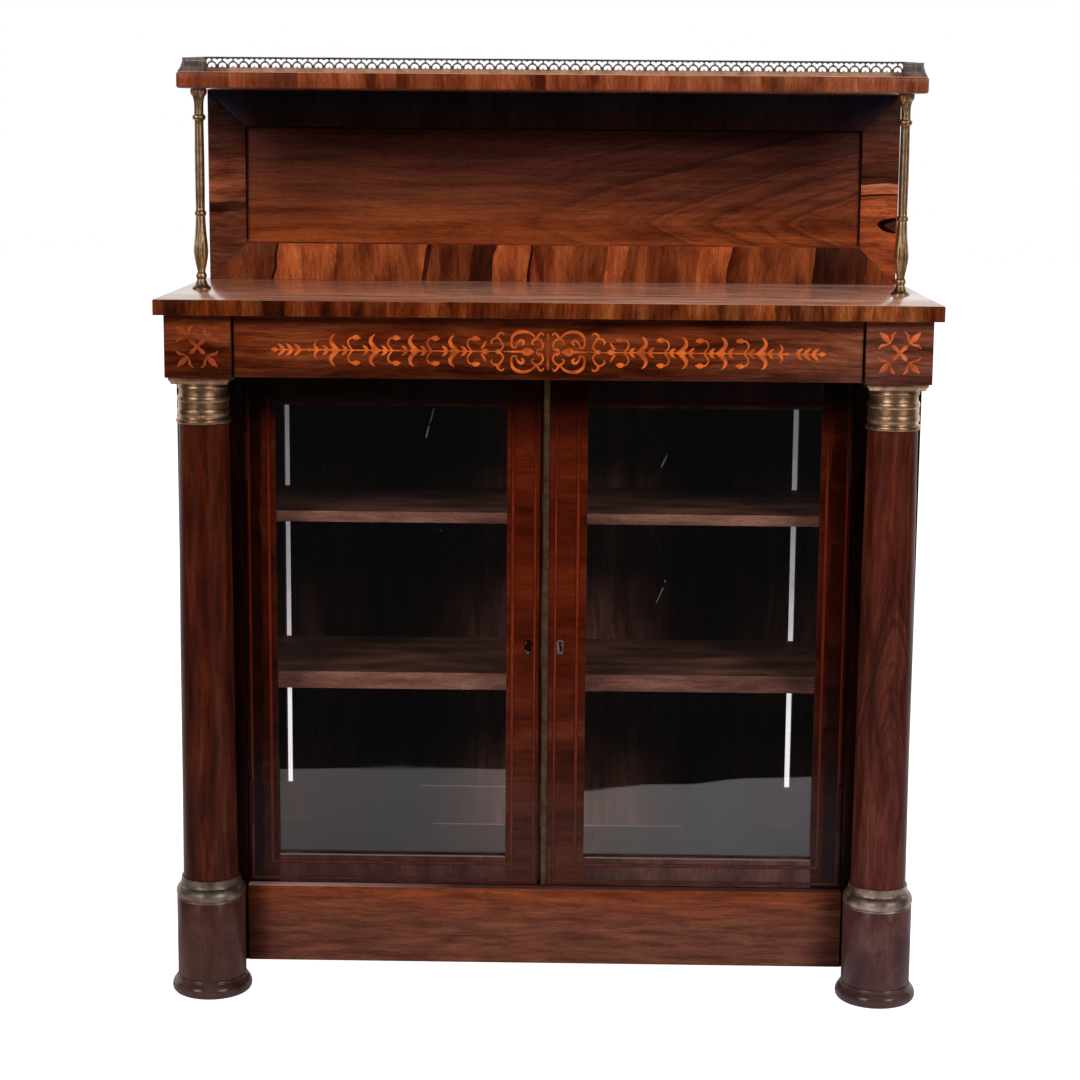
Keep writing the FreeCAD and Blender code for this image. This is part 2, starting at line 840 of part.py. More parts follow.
def back_nodes():
    """Frame of two stiles and two rails round the boards."""
    left = -side_x + back_left_stile
    right = side_x - back_right_stile
    y_pair = (back_y, carcass_back)
    full_z = (foot_height, frieze_top)
    top_rail_foot = frieze_top - back_top_rail
    members = [
        slab((-side_x, left), y_pair, full_z),
        slab((right, side_x), y_pair, full_z),
        slab((left, right), y_pair, (foot_height, back_bottom_rail_top)),
        slab((left, right), y_pair, (top_rail_foot, frieze_top)),
    ]
    save("back_frame", members)
    boards_x = (left + slit_width, right - slit_width)
    save("back_boards", back_boards(boards_x, (back_bottom_rail_top, top_rail_foot)))


# ---- Superstructure back ----
def superstructure_back_nodes():
    """Mitred frame, the panel in its rebate and the moulding round the sunk field."""
    half = board_width / 2 - back_frame_inset
    face_y = back - back_frame_thick
    outer = (-half, half, board_height, alcove_top)
    widths = (back_frame_side, back_frame_side, back_frame_foot, back_frame_head)
    fronts = mitred_frame(outer, widths, (face_y, face_y + panel_recess))
    narrow = [width - panel_lap for width in widths]
    rears = mitred_frame(outer, narrow, (face_y + panel_recess, back))
    save("back_panel_frame", [a.fuse(b).removeSplitter() for a, b in zip(fronts, rears)])
    panel_x = half - back_frame_side + panel_lap
    panel_z = (board_height + back_frame_foot - panel_lap, alcove_top - back_frame_head + panel_lap)
    panel_y = (face_y + panel_recess, face_y + panel_recess + panel_thick)
    save("back_panel", [slab((-panel_x, panel_x), panel_y, panel_z)])
    field = (
        -half + back_frame_side,
        half - back_frame_side,
        board_height + back_frame_foot,
        alcove_top - back_frame_head,
    )
    y_pair = (face_y + panel_recess - moulding_rise, face_y + panel_recess)
    save("back_panel_moulding", mitred_frame(field, (moulding_width,) * 4, y_pair))


def carcass_nodes():
    """Board, blocks, pilasters, sides, floors, plinth, shelves and feet."""
    save("main_top", [eased_board(board_width / 2, (front, back), (frieze_top, board_height))])
    for side in (-1, 1):
        name = side_name(side)
        block_y = (front + block_setback, carcass_y)
        block = slab((side * block_x, side * outer_x), block_y, (frieze_foot, frieze_top))
        save("frieze_block_" + name, [block])
        pilaster_x = (side * opening_x, side * outer_x)
        pilaster = slab(pilaster_x, (pilaster_y, carcass_y), (foot_height, frieze_foot))
        for middle in hinge_heights():
            pocket = leaf_pocket(side * opening_x, side, knuckle_y - web_thick / 2, middle)
            pilaster = pilaster.cut(pocket)
        save("pilaster_" + name, [pilaster])
        board_x = (side * side_x, side * outer_x)
        save("side_" + name, [slab(board_x, (carcass_y, carcass_back), (foot_height, frieze_top))])

    dust_y = drawer_box_y + dust_board_lap
    dust_z = (frieze_foot, frieze_foot + dust_board_thick)
    dust_board = stepped_board(dust_y, block_x, carcass_y, side_x, back_y, dust_z)
    save("dust_board", [dust_board.cut(rod_space(socket_clearance, dust_z))])
    floor_z = (plinth_height - floor_thick, plinth_height)
    plinth_y = front + plinth_setback
    plinth_back = plinth_y + plinth_thick
    floor = stepped_board(plinth_back, opening_x, carcass_y, side_x, back_y, floor_z)
    save("cupboard_floor", [floor.cut(rod_space(socket_clearance, floor_z))])
    rail = slab((-opening_x, opening_x), (plinth_y, plinth_back), (plinth_lift, plinth_height))
    save("plinth_rail", [rail])

    shelf_y = (front + shelf_setback, back_y)
    bearers = []
    for name, top, thick in (
        ("upper_shelf", upper_shelf_top, upper_shelf_thick),
        ("lower_shelf", lower_shelf_top, lower_shelf_thick),
    ):
        reach = side_x - shelf_end_gap
        save(name, [slab((-reach, reach), shelf_y, (top - thick, top))])
        bearer_z = (top - thick - bearer_side, top - thick)
        for side in (-1, 1):
            bearers.append(slab((side * (side_x - bearer_side), side * side_x), shelf_y, bearer_z))
    save("shelf_bearers", bearers)

    stop_y = (door_back + door_stop_gap, door_back + door_stop_gap + door_stop_side)
    stop_z = (frieze_foot - door_stop_side, frieze_foot)
    left_stop = slab((-opening_x, -door_stop_clear_left), stop_y, stop_z)
    right_stop = slab((door_stop_clear_right, opening_x), stop_y, stop_z)
    save("door_stops", [left_stop, right_stop])

    guide_x = drawer_box_x + running_gap
    guide_z = (frieze_foot + dust_board_thick, frieze_foot + dust_board_thick + guide_height)
    kicker_z = (drawer_side_top + drawer_top_gap, frieze_top)
    guides = []
    for side in (-1, 1):
        guides.append(slab((side * guide_x, side * (guide_x + guide_width)), (carcass_y, back_y), guide_z))
        kicker_x = (side * (drawer_box_x - drawer_side_thick), side * block_x)
        guides.append(slab(kicker_x, (dust_y, back_y), kicker_z))
    save("drawer_guides", guides)

    feet = []
    foot_y = (carcass_back - rear_foot_side, carcass_back)
    for side in (-1, 1):
        foot_x = (side * outer_x, side * (outer_x - rear_foot_side))
        feet.append(slab(foot_x, foot_y, (0, foot_height)))
    save("rear_feet", feet)


def column_nodes():
    """Each column from the bun foot up to the square abacus under the frieze block."""
    half = abacus_side / 2
    capitals = []
    rings = []
    feet = []
    for side in (-1, 1):
        name = side_name(side)
        x = side * column_x
        abacus = slab((x - half, x + half), (column_y - half, column_y + half), (abacus_foot, frieze_foot))
        save("abacus_" + name, [abacus])
        save("column_shaft_" + name, [shaft(x)])
        save("column_drum_" + name, [upright_rod(x, column_y, drum_radius, (foot_height, drum_head))])
        capitals.append(turned(capital_profile(), x, column_y, turned_sides))
        rings.append(turned(ring_profile(), x, column_y, turned_sides))
        feet.append(turned(foot_profile(), x, column_y, turned_sides))
    save("column_capitals", capitals)
    save("column_base_rings", rings)
    save("column_feet", feet)


def superstructure_nodes():
    """Galleried shelf on two balusters and the framed back."""
    half = board_width / 2 - upper_board_overhang
    shelf_y = (front + upper_board_setback, back)
    save("gallery_shelf", [eased_board(half, shelf_y, (alcove_top, upper_board_top))])
    baluster_y = front + baluster_setback
    for side in (-1, 1):
        x = side * (board_width / 2 - baluster_inset)
        save("baluster_" + side_name(side), [turned(baluster_profile(), x, baluster_y, baluster_sides)])
    superstructure_back_nodes()
    gallery_nodes()


def lock_nodes():
    """Rim lock on the right door, rod bolts on the left one and the brass strip between."""
    save("door_astragal", [astragal()])
    save("lock_case", [lock_case()])
    save("lock_bolt", [lock_bolt()])
    save("rod_plates", [rod_plate(1), rod_plate(-1)])
    save("top_rod", [rod_bolt(1)])
    save("bottom_rod", [rod_bolt(-1)])


os.makedirs("parts", exist_ok=True)
carcass_nodes()
column_nodes()
back_nodes()
superstructure_nodes()
drawer_nodes()
for door_side in (-1, 1):
    door_nodes(door_side)
lock_nodes()
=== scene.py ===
import bmesh
import bpy
import math
from mathutils import Matrix, Vector


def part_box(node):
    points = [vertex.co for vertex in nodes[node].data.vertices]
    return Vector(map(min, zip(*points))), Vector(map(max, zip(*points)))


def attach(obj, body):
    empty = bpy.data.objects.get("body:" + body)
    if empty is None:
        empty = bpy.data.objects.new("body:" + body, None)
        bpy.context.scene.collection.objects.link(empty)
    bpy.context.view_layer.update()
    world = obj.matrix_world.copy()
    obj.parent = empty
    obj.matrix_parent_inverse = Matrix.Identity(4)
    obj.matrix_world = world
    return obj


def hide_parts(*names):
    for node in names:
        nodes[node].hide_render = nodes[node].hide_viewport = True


# Rosewood chiffonier: glazed cupboard on two free columns, a frieze drawer with marquetry,
# and a shelf with a pierced brass gallery on two brass balusters. Metres, as the frame is.
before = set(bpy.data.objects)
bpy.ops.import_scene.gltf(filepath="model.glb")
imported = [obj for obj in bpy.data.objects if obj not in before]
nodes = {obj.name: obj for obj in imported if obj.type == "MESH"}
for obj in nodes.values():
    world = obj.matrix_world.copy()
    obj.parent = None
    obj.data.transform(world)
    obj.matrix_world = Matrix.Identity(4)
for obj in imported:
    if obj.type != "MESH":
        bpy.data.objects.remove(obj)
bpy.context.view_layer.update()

# ---- The room: camera, pale floor and soft lamps ----
# A still view from a little above the shelf, in a white studio with a broad lamp to each side of
# the piece and a dark room behind the camera. A strip of near floor and the glow of the lamps are
# there only for the polish and the door glass to mirror.
eye = Vector((0.0424, -3.2596, 1.1581))
pitch, yaw, roll = 0.17162, -0.01638, 0.00780
ahead = Vector((math.sin(yaw) * math.cos(pitch), math.cos(yaw) * math.cos(pitch), -math.sin(pitch)))
across = Vector((math.cos(yaw), -math.sin(yaw), 0))
upward = across.cross(ahead)
level = across * math.cos(roll) + upward * math.sin(roll)
plumb = upward * math.cos(roll) - across * math.sin(roll)
lens = bpy.data.cameras.new("camera")
lens.sensor_width = 36
lens.lens = 80.47
lens.clip_end = 100
camera = bpy.data.objects.new("camera", lens)
turn = Matrix((level, plumb, -ahead)).transposed().to_4x4()
camera.matrix_world = Matrix.Translation(eye) @ turn
bpy.context.scene.collection.objects.link(camera)
bpy.context.scene.camera = camera
bpy.context.scene.view_settings.view_transform = "Standard"


class Bench:
    """Makes the shader nodes of one tree and joins them."""

    def __init__(self, tree, shader="Principled BSDF"):
        self.tree, self.shader = tree, tree.nodes[shader]

    def feed(self, socket, value):
        """Joins an output to a socket, or sets the socket to a plain value."""
        if isinstance(value, bpy.types.NodeSocket):
            self.tree.links.new(value, socket)
        else:
            socket.default_value = value

    def give(self, socket, value):
        """Feeds a socket of the shader itself."""
        self.feed(self.shader.inputs[socket], value)

    def part(self, kind, inputs, **settings):
        """A node with its settings made and its inputs fed; gives its outputs back."""
        node = self.tree.nodes.new("ShaderNode" + kind)
        for key, value in settings.items():
            setattr(node, key, value)
        for socket, value in inputs.items():
            self.feed(node.inputs[socket], value)
        return node.outputs

    def place(self):
        """Where a point lies on the piece."""
        return self.part("TexCoord", {})["Object"]

    def maths(self, operation, *values):
        """A sum worked on numbers."""
        return self.part("Math", dict(enumerate(values)), operation=operation)[0]

    def vectors(self, operation, first, second):
        """A sum worked on places or colours."""
        other = "Scale" if operation == "SCALE" else 1
        return self.part("VectorMath", {0: first, other: second}, operation=operation)[0]

    def noise(self, place, scale, detail, rough=0.5):
        """Cloudy pattern, as a colour or as its strength."""
        sockets = {"Vector": place, "Scale": scale, "Detail": detail, "Roughness": rough}
        return self.part("TexNoise", sockets)

    def spread(self, value, low, high, to_low=0.0, to_high=1.0, soft=False):
        """Turns the run of a value from low to high into another run."""
        sockets = {"Value": value, "From Min": low, "From Max": high, "To Min": to_low, "To Max": to_high}
        kind = "SMOOTHSTEP" if soft else "LINEAR"
        return self.part("MapRange", sockets, interpolation_type=kind)["Result"]

    def shaded(self, value, stops, kind="LINEAR"):
        """Colour that goes through (position, colour) stops as a value rises."""
        node = self.tree.nodes.new("ShaderNodeValToRGB")
        self.feed(node.inputs["Fac"], value)
        node.color_ramp.interpolation = kind
        marks = node.color_ramp.elements
        for mark, (at, colour) in zip(marks[:], (stops[0], stops[-1])):
            mark.position, mark.color = at, (*colour, 1)
        for at, colour in stops[1:-1]:
            marks.new(at).color = (*colour, 1)
        return node.outputs["Color"]

    def over(self, share, under, colour, blend="MULTIPLY"):
        """One colour laid over another."""
        sockets = {"Factor": share, 6: under, 7: colour}
        return self.part("Mix", sockets, data_type="RGBA", blend_type=blend)[2]

    def bump(self, height, strength, depth):
        """Fine relief in the light on a surface."""
        sockets = {"Height": height, "Strength": strength, "Distance": depth}
        self.give("Normal", self.part("Bump", sockets)["Normal"])

    def instead(self, surface):
        """Puts another surface in the place of the usual shader."""
        self.feed(self.tree.nodes["Material Output"].inputs["Surface"], surface)
        self.tree.nodes.remove(self.shader)


def finish(name, settings=None):
    """A new finish with its plain settings made, and a bench for its nodes."""
    material = bpy.data.materials.new(name)
    material.use_nodes = True
    bench = Bench(material.node_tree)
    for socket, value in (settings or {}).items():
        bench.give(socket, value)
    return material, bench


def keep(name, mesh, body, skin, smooth=0.6):
    """Turns a bmesh into a piece that rides on a body, with one skin or several."""
    data = bpy.data.meshes.new(name)
    for edge in mesh.edges:
        edge.smooth = edge.calc_face_angle(0) < smooth
    for face in mesh.faces:
        face.smooth = True
    mesh.to_mesh(data)
    mesh.free()
    for each in skin if isinstance(skin, (list, tuple)) else [skin]:
        data.materials.append(each)
    piece = bpy.data.objects.new(name, data)
    bpy.context.scene.collection.objects.link(piece)
    if body:
        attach(piece, body)
    return piece


def moved(mesh, by):
    """Moves a mesh into its place."""
    bmesh.ops.translate(mesh, verts=mesh.verts, vec=by)


def paint(red, green, blue):
    """A colour as the eye reads it on a chart, turned into the amounts of light it stands for."""
    return tuple((each / 255) ** 2.2 for each in (red, green, blue))


white = (1, 1, 1)
self_lit = {"Roughness": 0.9, "Emission Color": (*white, 1), "Emission Strength": 1.0}
floor_paint, bench = finish("floor_paint", self_lit)
speck = bench.part("TexNoise", {"Scale": 1.5, "Detail": 2})["Fac"]
bench.give("Base Color", bench.shaded(speck, [(0, (0.84,) * 3), (1, (0.9,) * 3)]))
mesh = bmesh.new()
bmesh.ops.create_grid(mesh, x_segments=1, y_segments=1, size=14)
moved(mesh, (0, 4, -0.0006))
floor = keep("floor", mesh, None, floor_paint)
floor.visible_glossy = False
floor.visible_diffuse = False
near_paint, bench = finish("near_paint", {"Roughness": 0.9})
share = bench.spread(bench.part("SeparateXYZ", {"Vector": bench.place()})["X"], -0.5, 0.5)
floor_tints = [
    (0, (0.7, 0.6, 0.6)), (0.26, (0.6, 0.585, 0.605)), (0.42, (0.92, 0.74, 0.72)),
    (0.56, (1.0, 0.86, 0.82)), (0.78, (0.9, 0.88, 0.93)), (1, (0.82, 0.76, 0.84))]
bench.give("Base Color", bench.shaded(share, floor_tints))
front_edge = [
    (-1.6, -1.14), (-0.489, -1.144), (-0.278, -1.163), (-0.05, -1.16), (0.0, -1.02), (0.06, -1.022),
    (0.16, -1.07), (0.25, -1.075), (0.33, -1.115), (0.46, -1.133), (1.6, -1.15)]
mesh = bmesh.new()
mesh.faces.new([mesh.verts.new((x, y, -0.0003)) for x, y in front_edge + [(1.6, 0.06), (-1.6, 0.06)]])
near_floor = keep("near_floor", mesh, None, near_paint)
near_floor.visible_camera = False
near_floor.visible_shadow = False
near_floor.visible_transmission = False

world = bpy.data.worlds.new("studio")
bpy.context.scene.world = world
world.use_nodes = True
dark_room, bright_room, lamp_glow, bounce = 0.03, 1.0, 5.0, 0.12
to_lamp = Vector((0.58, 0.74, 0.34)).normalized()
bench = Bench(world.node_tree, "Background")
seen_by = bench.part("LightPath", {})
toward = bench.part("TexCoord", {})["Generated"]
split = bench.part("SeparateXYZ", {"Vector": toward})
behind = bench.spread(split["Y"], 0.3, 0.45, dark_room, bright_room)
either = bench.part("VectorMath", {0: toward}, operation="ABSOLUTE")[0]
near_lamp = bench.part("VectorMath", {0: either, 1: to_lamp}, operation="DOT_PRODUCT")["Value"]
glow = bench.spread(near_lamp, 0.965, 0.992, 0.0, lamp_glow, soft=True)
in_front = bench.maths("MULTIPLY", bench.maths("LESS_THAN", split["Y"], 0),
                       bench.spread(split["Z"], -0.24, -0.16, soft=True))
mirrored_room = bench.maths("MULTIPLY_ADD", glow, in_front, behind)
strength = bench.part("Mix", {"Factor": seen_by["Is Glossy Ray"], "A": 1.0, "B": mirrored_room})["Result"]
strength = bench.part("Mix", {"Factor": seen_by["Is Diffuse Ray"], "A": strength, "B": bounce})["Result"]
bench.give("Strength", strength)
bench.give("Color", (*white, 1))
lamp_aim = Vector((0, 0, 0.75))
for name, sign, power in (("left_lamp", -1, 88), ("right_lamp", 1, 98)):
    lamp = bpy.data.lights.new(name, "AREA")
    lamp.shape = "RECTANGLE"
    lamp.size, lamp.size_y = 1.1, 1.3
    lamp.energy = power
    holder = bpy.data.objects.new(name, lamp)
    holder.location = (sign * 1.95, -2.6, 2.45)
    holder.rotation_euler = (lamp_aim - holder.location).to_track_quat("-Z", "Y").to_euler()
    holder.visible_glossy = False
    bpy.context.scene.collection.objects.link(holder)


# ---- Main top and gallery shelf ----
# Solid boards veneered in figured rosewood, with the edges crossbanded in short leaves set
# upright, and French polished. The top has lost a little gloss where things have stood.
def rosewood(name, grain, shades, bold=5.0, stretch=9.0, sway=0.004, lines=0.5, leaves=None, lean=0.0,
             along="X", peaks=None, fades=(), shine=0.3, coat=0.16, gloss=0.14, seed=0.0, wear=0.0):
    """Polished rosewood: broad colour, dark growth lines and fine pores along the grain."""
    settings = {"Specular IOR Level": 0.06, "Coat Weight": coat, "Coat Roughness": gloss}
    material, bench = finish(name, settings)
    own_place = bench.place()
    axes = bench.part("SeparateXYZ", {"Vector": own_place})
    shifted = bench.vectors("ADD", own_place, (seed, seed * 0.7, seed * 1.3))
    bend = bench.vectors("SUBTRACT", bench.noise(shifted, 7.0, 2.0)["Color"], (0.5, 0.5, 0.5))
    place = bench.vectors("ADD", shifted, bench.vectors("SCALE", bend, sway * 8))
    if leaves:
        low, high, lean_level = leaves[0][0], leaves[-1][0], 0.96
        slant = bench.maths("SUBTRACT", axes["Z" if along == "X" else "X"], lean_level)
        slide = bench.maths("MULTIPLY_ADD", slant, lean, axes[along])
        ragged = bench.noise(own_place, 24.0, 1.0)["Fac"]
        slide = bench.maths("MULTIPLY_ADD", ragged, 0.012, slide)
        stops = [((start - low) / (high - low), (shade,) * 3) for start, shade in leaves]
        tone = bench.shaded(bench.spread(slide, low, high), stops, "CONSTANT")
        place = bench.vectors("ADD", place, bench.vectors("SCALE", tone, 3.7))

    def drawn_out(lengthwise, crosswise):
        """The place, with its pattern drawn out along the grain."""
        scale = [lengthwise if axis == grain else crosswise for axis in "XYZ"]
        return bench.part("Mapping", {"Vector": place, "Scale": scale})[0]

    dark, mid, light = (paint(*shade) for shade in shades)
    figure = bench.noise(drawn_out(1, stretch), bold, 5.0, 0.62)["Fac"]
    colour = bench.shaded(figure, [(0.34, dark), (0.5, mid), (0.68, light)])
    hairs = bench.noise(drawn_out(2, 44), 5.0, 6.0, 0.72)["Fac"]
    colour = bench.over(lines, colour, bench.shaded(hairs, [(0.4, (0.25, 0.2, 0.2)), (0.56, white)]))
    veins = bench.noise(drawn_out(0.8, 17), 5.0, 3.0)["Fac"]
    gap = bench.maths("ABSOLUTE", bench.maths("SUBTRACT", veins, 0.5))
    colour = bench.over(lines, colour, bench.shaded(gap, [(0, (0.2, 0.16, 0.16)), (0.035, white)]))
    if peaks:
        start, stop, soft, centre, point_slope, bow, rate, depth = peaks
        off = bench.maths("SUBTRACT", axes["Z" if grain == "X" else "X"], centre)
        square = bench.maths("MULTIPLY_ADD", off, off, 0.00002)
        run = bench.maths("MULTIPLY_ADD", bench.maths("SQRT", square), -point_slope, axes[grain])
        run = bench.maths("MULTIPLY_ADD", square, -bow, run)
        run = bench.maths("MULTIPLY_ADD", bench.noise(shifted, 16.0, 4.0)["Fac"], 0.05, run)
        sockets = {"W": bench.maths("MULTIPLY", run, rate), "Scale": 1.0, "Detail": 3.0, "Roughness": 0.6}
        rings = bench.part("TexNoise", sockets, noise_dimensions="1D")["Fac"]
        inside = bench.maths("MULTIPLY", bench.spread(axes[grain], start, start + soft),
                             bench.spread(axes[grain], stop, stop - soft))
        inside = bench.maths("MULTIPLY", inside, bench.spread(rings, 0.36, 0.56, 1.0, 0.0))
        inside = bench.maths("MULTIPLY", inside, depth)
        colour = bench.over(inside, colour, (0.006, 0.003, 0.003, 1), "MIX")
    pores = bench.noise(drawn_out(12, 240), 7.0, 1.0)["Fac"]
    colour = bench.over(0.8, colour, bench.shaded(pores, [(0.32, (0.45, 0.4, 0.4)), (0.46, white)]))
    if leaves:
        deep = bench.over(1.0, colour, (0.1, 0.08, 0.1, 1))
        warm = bench.over(1.0, colour, (2.0, 1.9, 1.6, 1))
        colour = bench.over(tone, deep, warm, "MIX")
    for axis, full, spent, tint in fades:
        faded = bench.over(1.0, colour, (*tint, 1))
        colour = bench.over(bench.spread(axes[axis], full, spent), colour, faded, "MIX")
    bench.give("Base Color", colour)
    cloud = bench.noise(shifted, 9.0, 3.0)["Fac"]
    bench.give("Roughness", bench.spread(cloud, 0.3, 0.7, shine, shine + 0.14 + wear))
    bench.bump(hairs, 0.1, 0.0003)
    return material


def eased(mesh, by, rounds=2):
    """Rounds every edge of a mesh."""
    bmesh.ops.bevel(mesh, geom=mesh.edges[:], offset=by, affect="EDGES", segments=rounds, profile=0.5,
                    material=-1)


def board(name, low, high, body, skins, ease=0.0008, edge="YX"):
    """Board between two corners with eased edges; the second skin goes on the named sides."""
    mesh = bmesh.new()
    bmesh.ops.create_cube(mesh, size=1)
    bmesh.ops.scale(mesh, verts=mesh.verts, vec=[b - a for a, b in zip(low, high)])
    moved(mesh, [(a + b) / 2 for a, b in zip(low, high)])
    eased(mesh, ease, 3)
    for face in mesh.faces:
        facing = max(range(3), key=lambda axis: abs(face.normal[axis]))
        face.material_index = int("XYZ"[facing] in edge) if len(skins) > 1 else 0
    return keep(name, mesh, body, skins)


# The top's veneer is pale, partly as painted sheen, and grows paler and greyer towards the right end: painted
# sheen.
top_brown = ((126, 72, 54), (172, 116, 92), (204, 154, 128))
top_veneer = rosewood(
    "top_veneer", "X", top_brown, bold=4.0, stretch=12.0, shine=0.2, coat=0.9, gloss=0.17, wear=0.12,
    lines=0.6, seed=0.3, fades=[("X", -0.32, 0.14, (1.5, 1.74, 1.96))])
band_brown = ((48, 18, 10), (95, 43, 21), (137, 74, 40))
top_leaves = [
    (-0.5, 0.28), (-0.44, 0.48), (-0.385, 0.3), (-0.355, 0.1), (-0.33, 0.42), (-0.24, 0.33), (-0.2, 0.49),
    (-0.1, 0.39), (0.0, 0.51), (0.09, 0.4), (0.16, 0.47), (0.22, 0.26), (0.25, 0.62), (0.29, 0.4),
    (0.31, 0.22), (0.35, 0.44), (0.45, 0.33), (0.51, 0.4)]
# The edge band grows lighter and greyer towards the right: painted sheen.
top_band = rosewood(
    "top_band", "Z", band_brown, bold=8.0, stretch=4.0, leaves=top_leaves, seed=2.0,
    fades=[("X", -0.05, 0.3, (1.6, 2.0, 2.6))])
low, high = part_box("main_top")
main_top = board("veneered_top", low, high, "carcass", [top_veneer, top_band])
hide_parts("main_top")
shelf_leaves = [
    (-0.5, 0.4), (-0.42, 0.46), (-0.38, 0.2), (-0.33, 0.44), (-0.2, 0.34), (-0.14, 0.46), (-0.04, 0.37),
    (0.0, 0.46), (0.12, 0.55), (0.16, 0.41), (0.28, 0.46), (0.29, 0.26), (0.31, 0.43), (0.5, 0.4)]
shelf_brown = ((78, 32, 20), (126, 64, 40), (154, 86, 58))
# The shelf's edge band grows lighter and greyer towards the right: painted sheen.
shelf_band = rosewood(
    "shelf_band", "Z", shelf_brown, bold=8.0, stretch=4.0, leaves=shelf_leaves, seed=5.0, coat=0.5,
    gloss=0.22, lines=0.35, fades=[("X", 0.05, 0.38, (1.12, 1.4, 1.7))])
low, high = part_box("gallery_shelf")
gallery_shelf = board("veneered_shelf", low, high, "carcass", [top_veneer, shelf_band], ease=0.0034)
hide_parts("gallery_shelf")


# ---- Carcass and frieze ----
# Pine and oak boards veneered where they show: the frieze blocks and the drawer front with the
# grain level, the pilasters and sides upright, and the plinth rail level, with a pale ledge of dust
# and painted highlight.
def dress(node, skin, ease=0.0006):
    """Gives a node of the frame its finish and eases its edges."""
    piece = nodes[node]
    if not piece.material_slots:
        piece.data.materials.append(skin)
    for each in piece.material_slots:
        each.material = skin
    if ease:
        piece.modifiers.new("weld", "WELD").merge_threshold = 0.00001
        soften = piece.modifiers.new("ease", "BEVEL")
        soften.width = ease
        soften.segments = 2
        soften.limit_method = "ANGLE"
        soften.harden_normals = False


frieze_brown = ((58, 24, 12), (98, 44, 23), (124, 64, 38))
block_brown = ((60, 28, 18), (104, 49, 31), (126, 65, 43))
# The frieze veneers darken and grey along their bottom edge; the drawer front and the right block grow
# lighter and greyer towards the right: painted sheen.
for node, seed, brown, far_end_sheen in (
    ("frieze_block_left", 1.0, frieze_brown, white),
    ("drawer_front", 1.4, frieze_brown, (1.4, 2.3, 4.4)),
    ("frieze_block_right", 1.8, block_brown, (1.24, 1.8, 2.6)),
):
    veneer = rosewood(
        node + "_veneer", "X", brown, bold=6.0, stretch=10.0, sway=0.0025, lines=0.45, seed=seed,
        fades=[("Z", 0.862, 0.838, (0.42, 0.44, 0.6)), ("X", 0.2, 0.4, far_end_sheen)])
    dress(node, veneer)
upright_veneer = rosewood("upright_veneer", "Z", ((44, 20, 14), (68, 34, 24), (92, 52, 38)), seed=3.0)
# The pilasters get a near-black veneer: painted shade of the narrow recess behind the columns.
shadow_veneer = rosewood("shadow_veneer", "Z", ((12, 4, 3), (24, 9, 5), (36, 14, 9)), seed=3.4)
for side in ("left", "right"):
    dress("side_" + side, upright_veneer)
    dress("pilaster_" + side, shadow_veneer)
# The plinth rail grows more orange towards the top, and darker at each end, most at the left: painted shade
# behind the column feet.
plinth_brown = ((76, 42, 32), (96, 56, 42), (114, 68, 50))
plinth_veneer = rosewood(
    "plinth_veneer", "X", plinth_brown, bold=14.0, stretch=8.0, sway=0.001, seed=4.0, shine=0.4,
    lines=0.22,
    fades=[("Z", 0.078, 0.122, (1.3, 0.98, 0.66)), ("X", -0.37, -0.402, (0.35, 0.3, 0.3)),
           ("X", 0.34, 0.402, (0.7, 0.72, 0.8))])
# The ledge is pale grey at the left end and dark from there on: dust and painted highlight.
dust_and_highlight_grey = ((150, 112, 106), (176, 136, 128), (190, 150, 142))
plinth_dust_and_highlight = rosewood(
    "plinth_dust_and_highlight", "X", dust_and_highlight_grey, shine=0.6, coat=0.0, lines=0.1, seed=4.4,
    fades=[("X", -0.32, -0.12, (0.14, 0.09, 0.09))])
low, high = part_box("plinth_rail")
plinth = board("veneered_plinth", low, high, "carcass", [plinth_veneer, plinth_dust_and_highlight], edge="Z")
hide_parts("plinth_rail")


# ---- Marquetry ----
# Satinwood strapwork, lilies and buds let into the drawer front and the two frieze blocks, and
# level with the veneer but for the thickness of the polish.
def satinwood(name, worn, fresh):
    """Inlay wood with a close grain, rubbed through its polish in patches."""
    material, bench = finish(name, {"Specular IOR Level": 0.2})
    place = bench.place()
    patch = bench.noise(place, 70.0, 3.0)["Fac"]
    tone = bench.shaded(patch, [(0.35, paint(*worn)), (0.66, paint(*fresh))])
    streaky = bench.part("Mapping", {"Vector": place, "Scale": (120.0, 120.0, 900.0)})[0]
    grain = bench.noise(streaky, 3.0, 3.0)["Fac"]
    thread = bench.spread(grain, 0.3, 0.7, 0.8, 1.1)
    bench.give("Base Color", bench.vectors("SCALE", tone, thread))
    bench.give("Roughness", bench.spread(patch, 0.0, 1.0, 0.28, 0.42))
    bench.bump(grain, 0.08, 0.0002)
    return material


inlay_wood = satinwood("inlay_wood", (142, 62, 28), (206, 98, 42))
left_inlay = satinwood("left_inlay", (104, 46, 22), (146, 66, 36))
right_inlay = satinwood("right_inlay", (132, 62, 36), (200, 98, 56))


def flow(marks, steps=6):
    """Smooth line through marks of any length of numbers."""
    points = [Vector(mark) for mark in marks]
    ends = [points[0]] + points + [points[-1]]
    line = []
    for index in range(1, len(ends) - 2):
        a, b, c, d = ends[index - 1:index + 3]
        for step in range(steps if len(points) > 2 else 1):
            t = step / steps
            line.append(0.5 * (2 * b + (c - a) * t + (2 * a - 5 * b + 4 * c - d) * t * t
                               + (3 * b - a - 3 * c + d) * t ** 3))
    return line + [points[-1]]


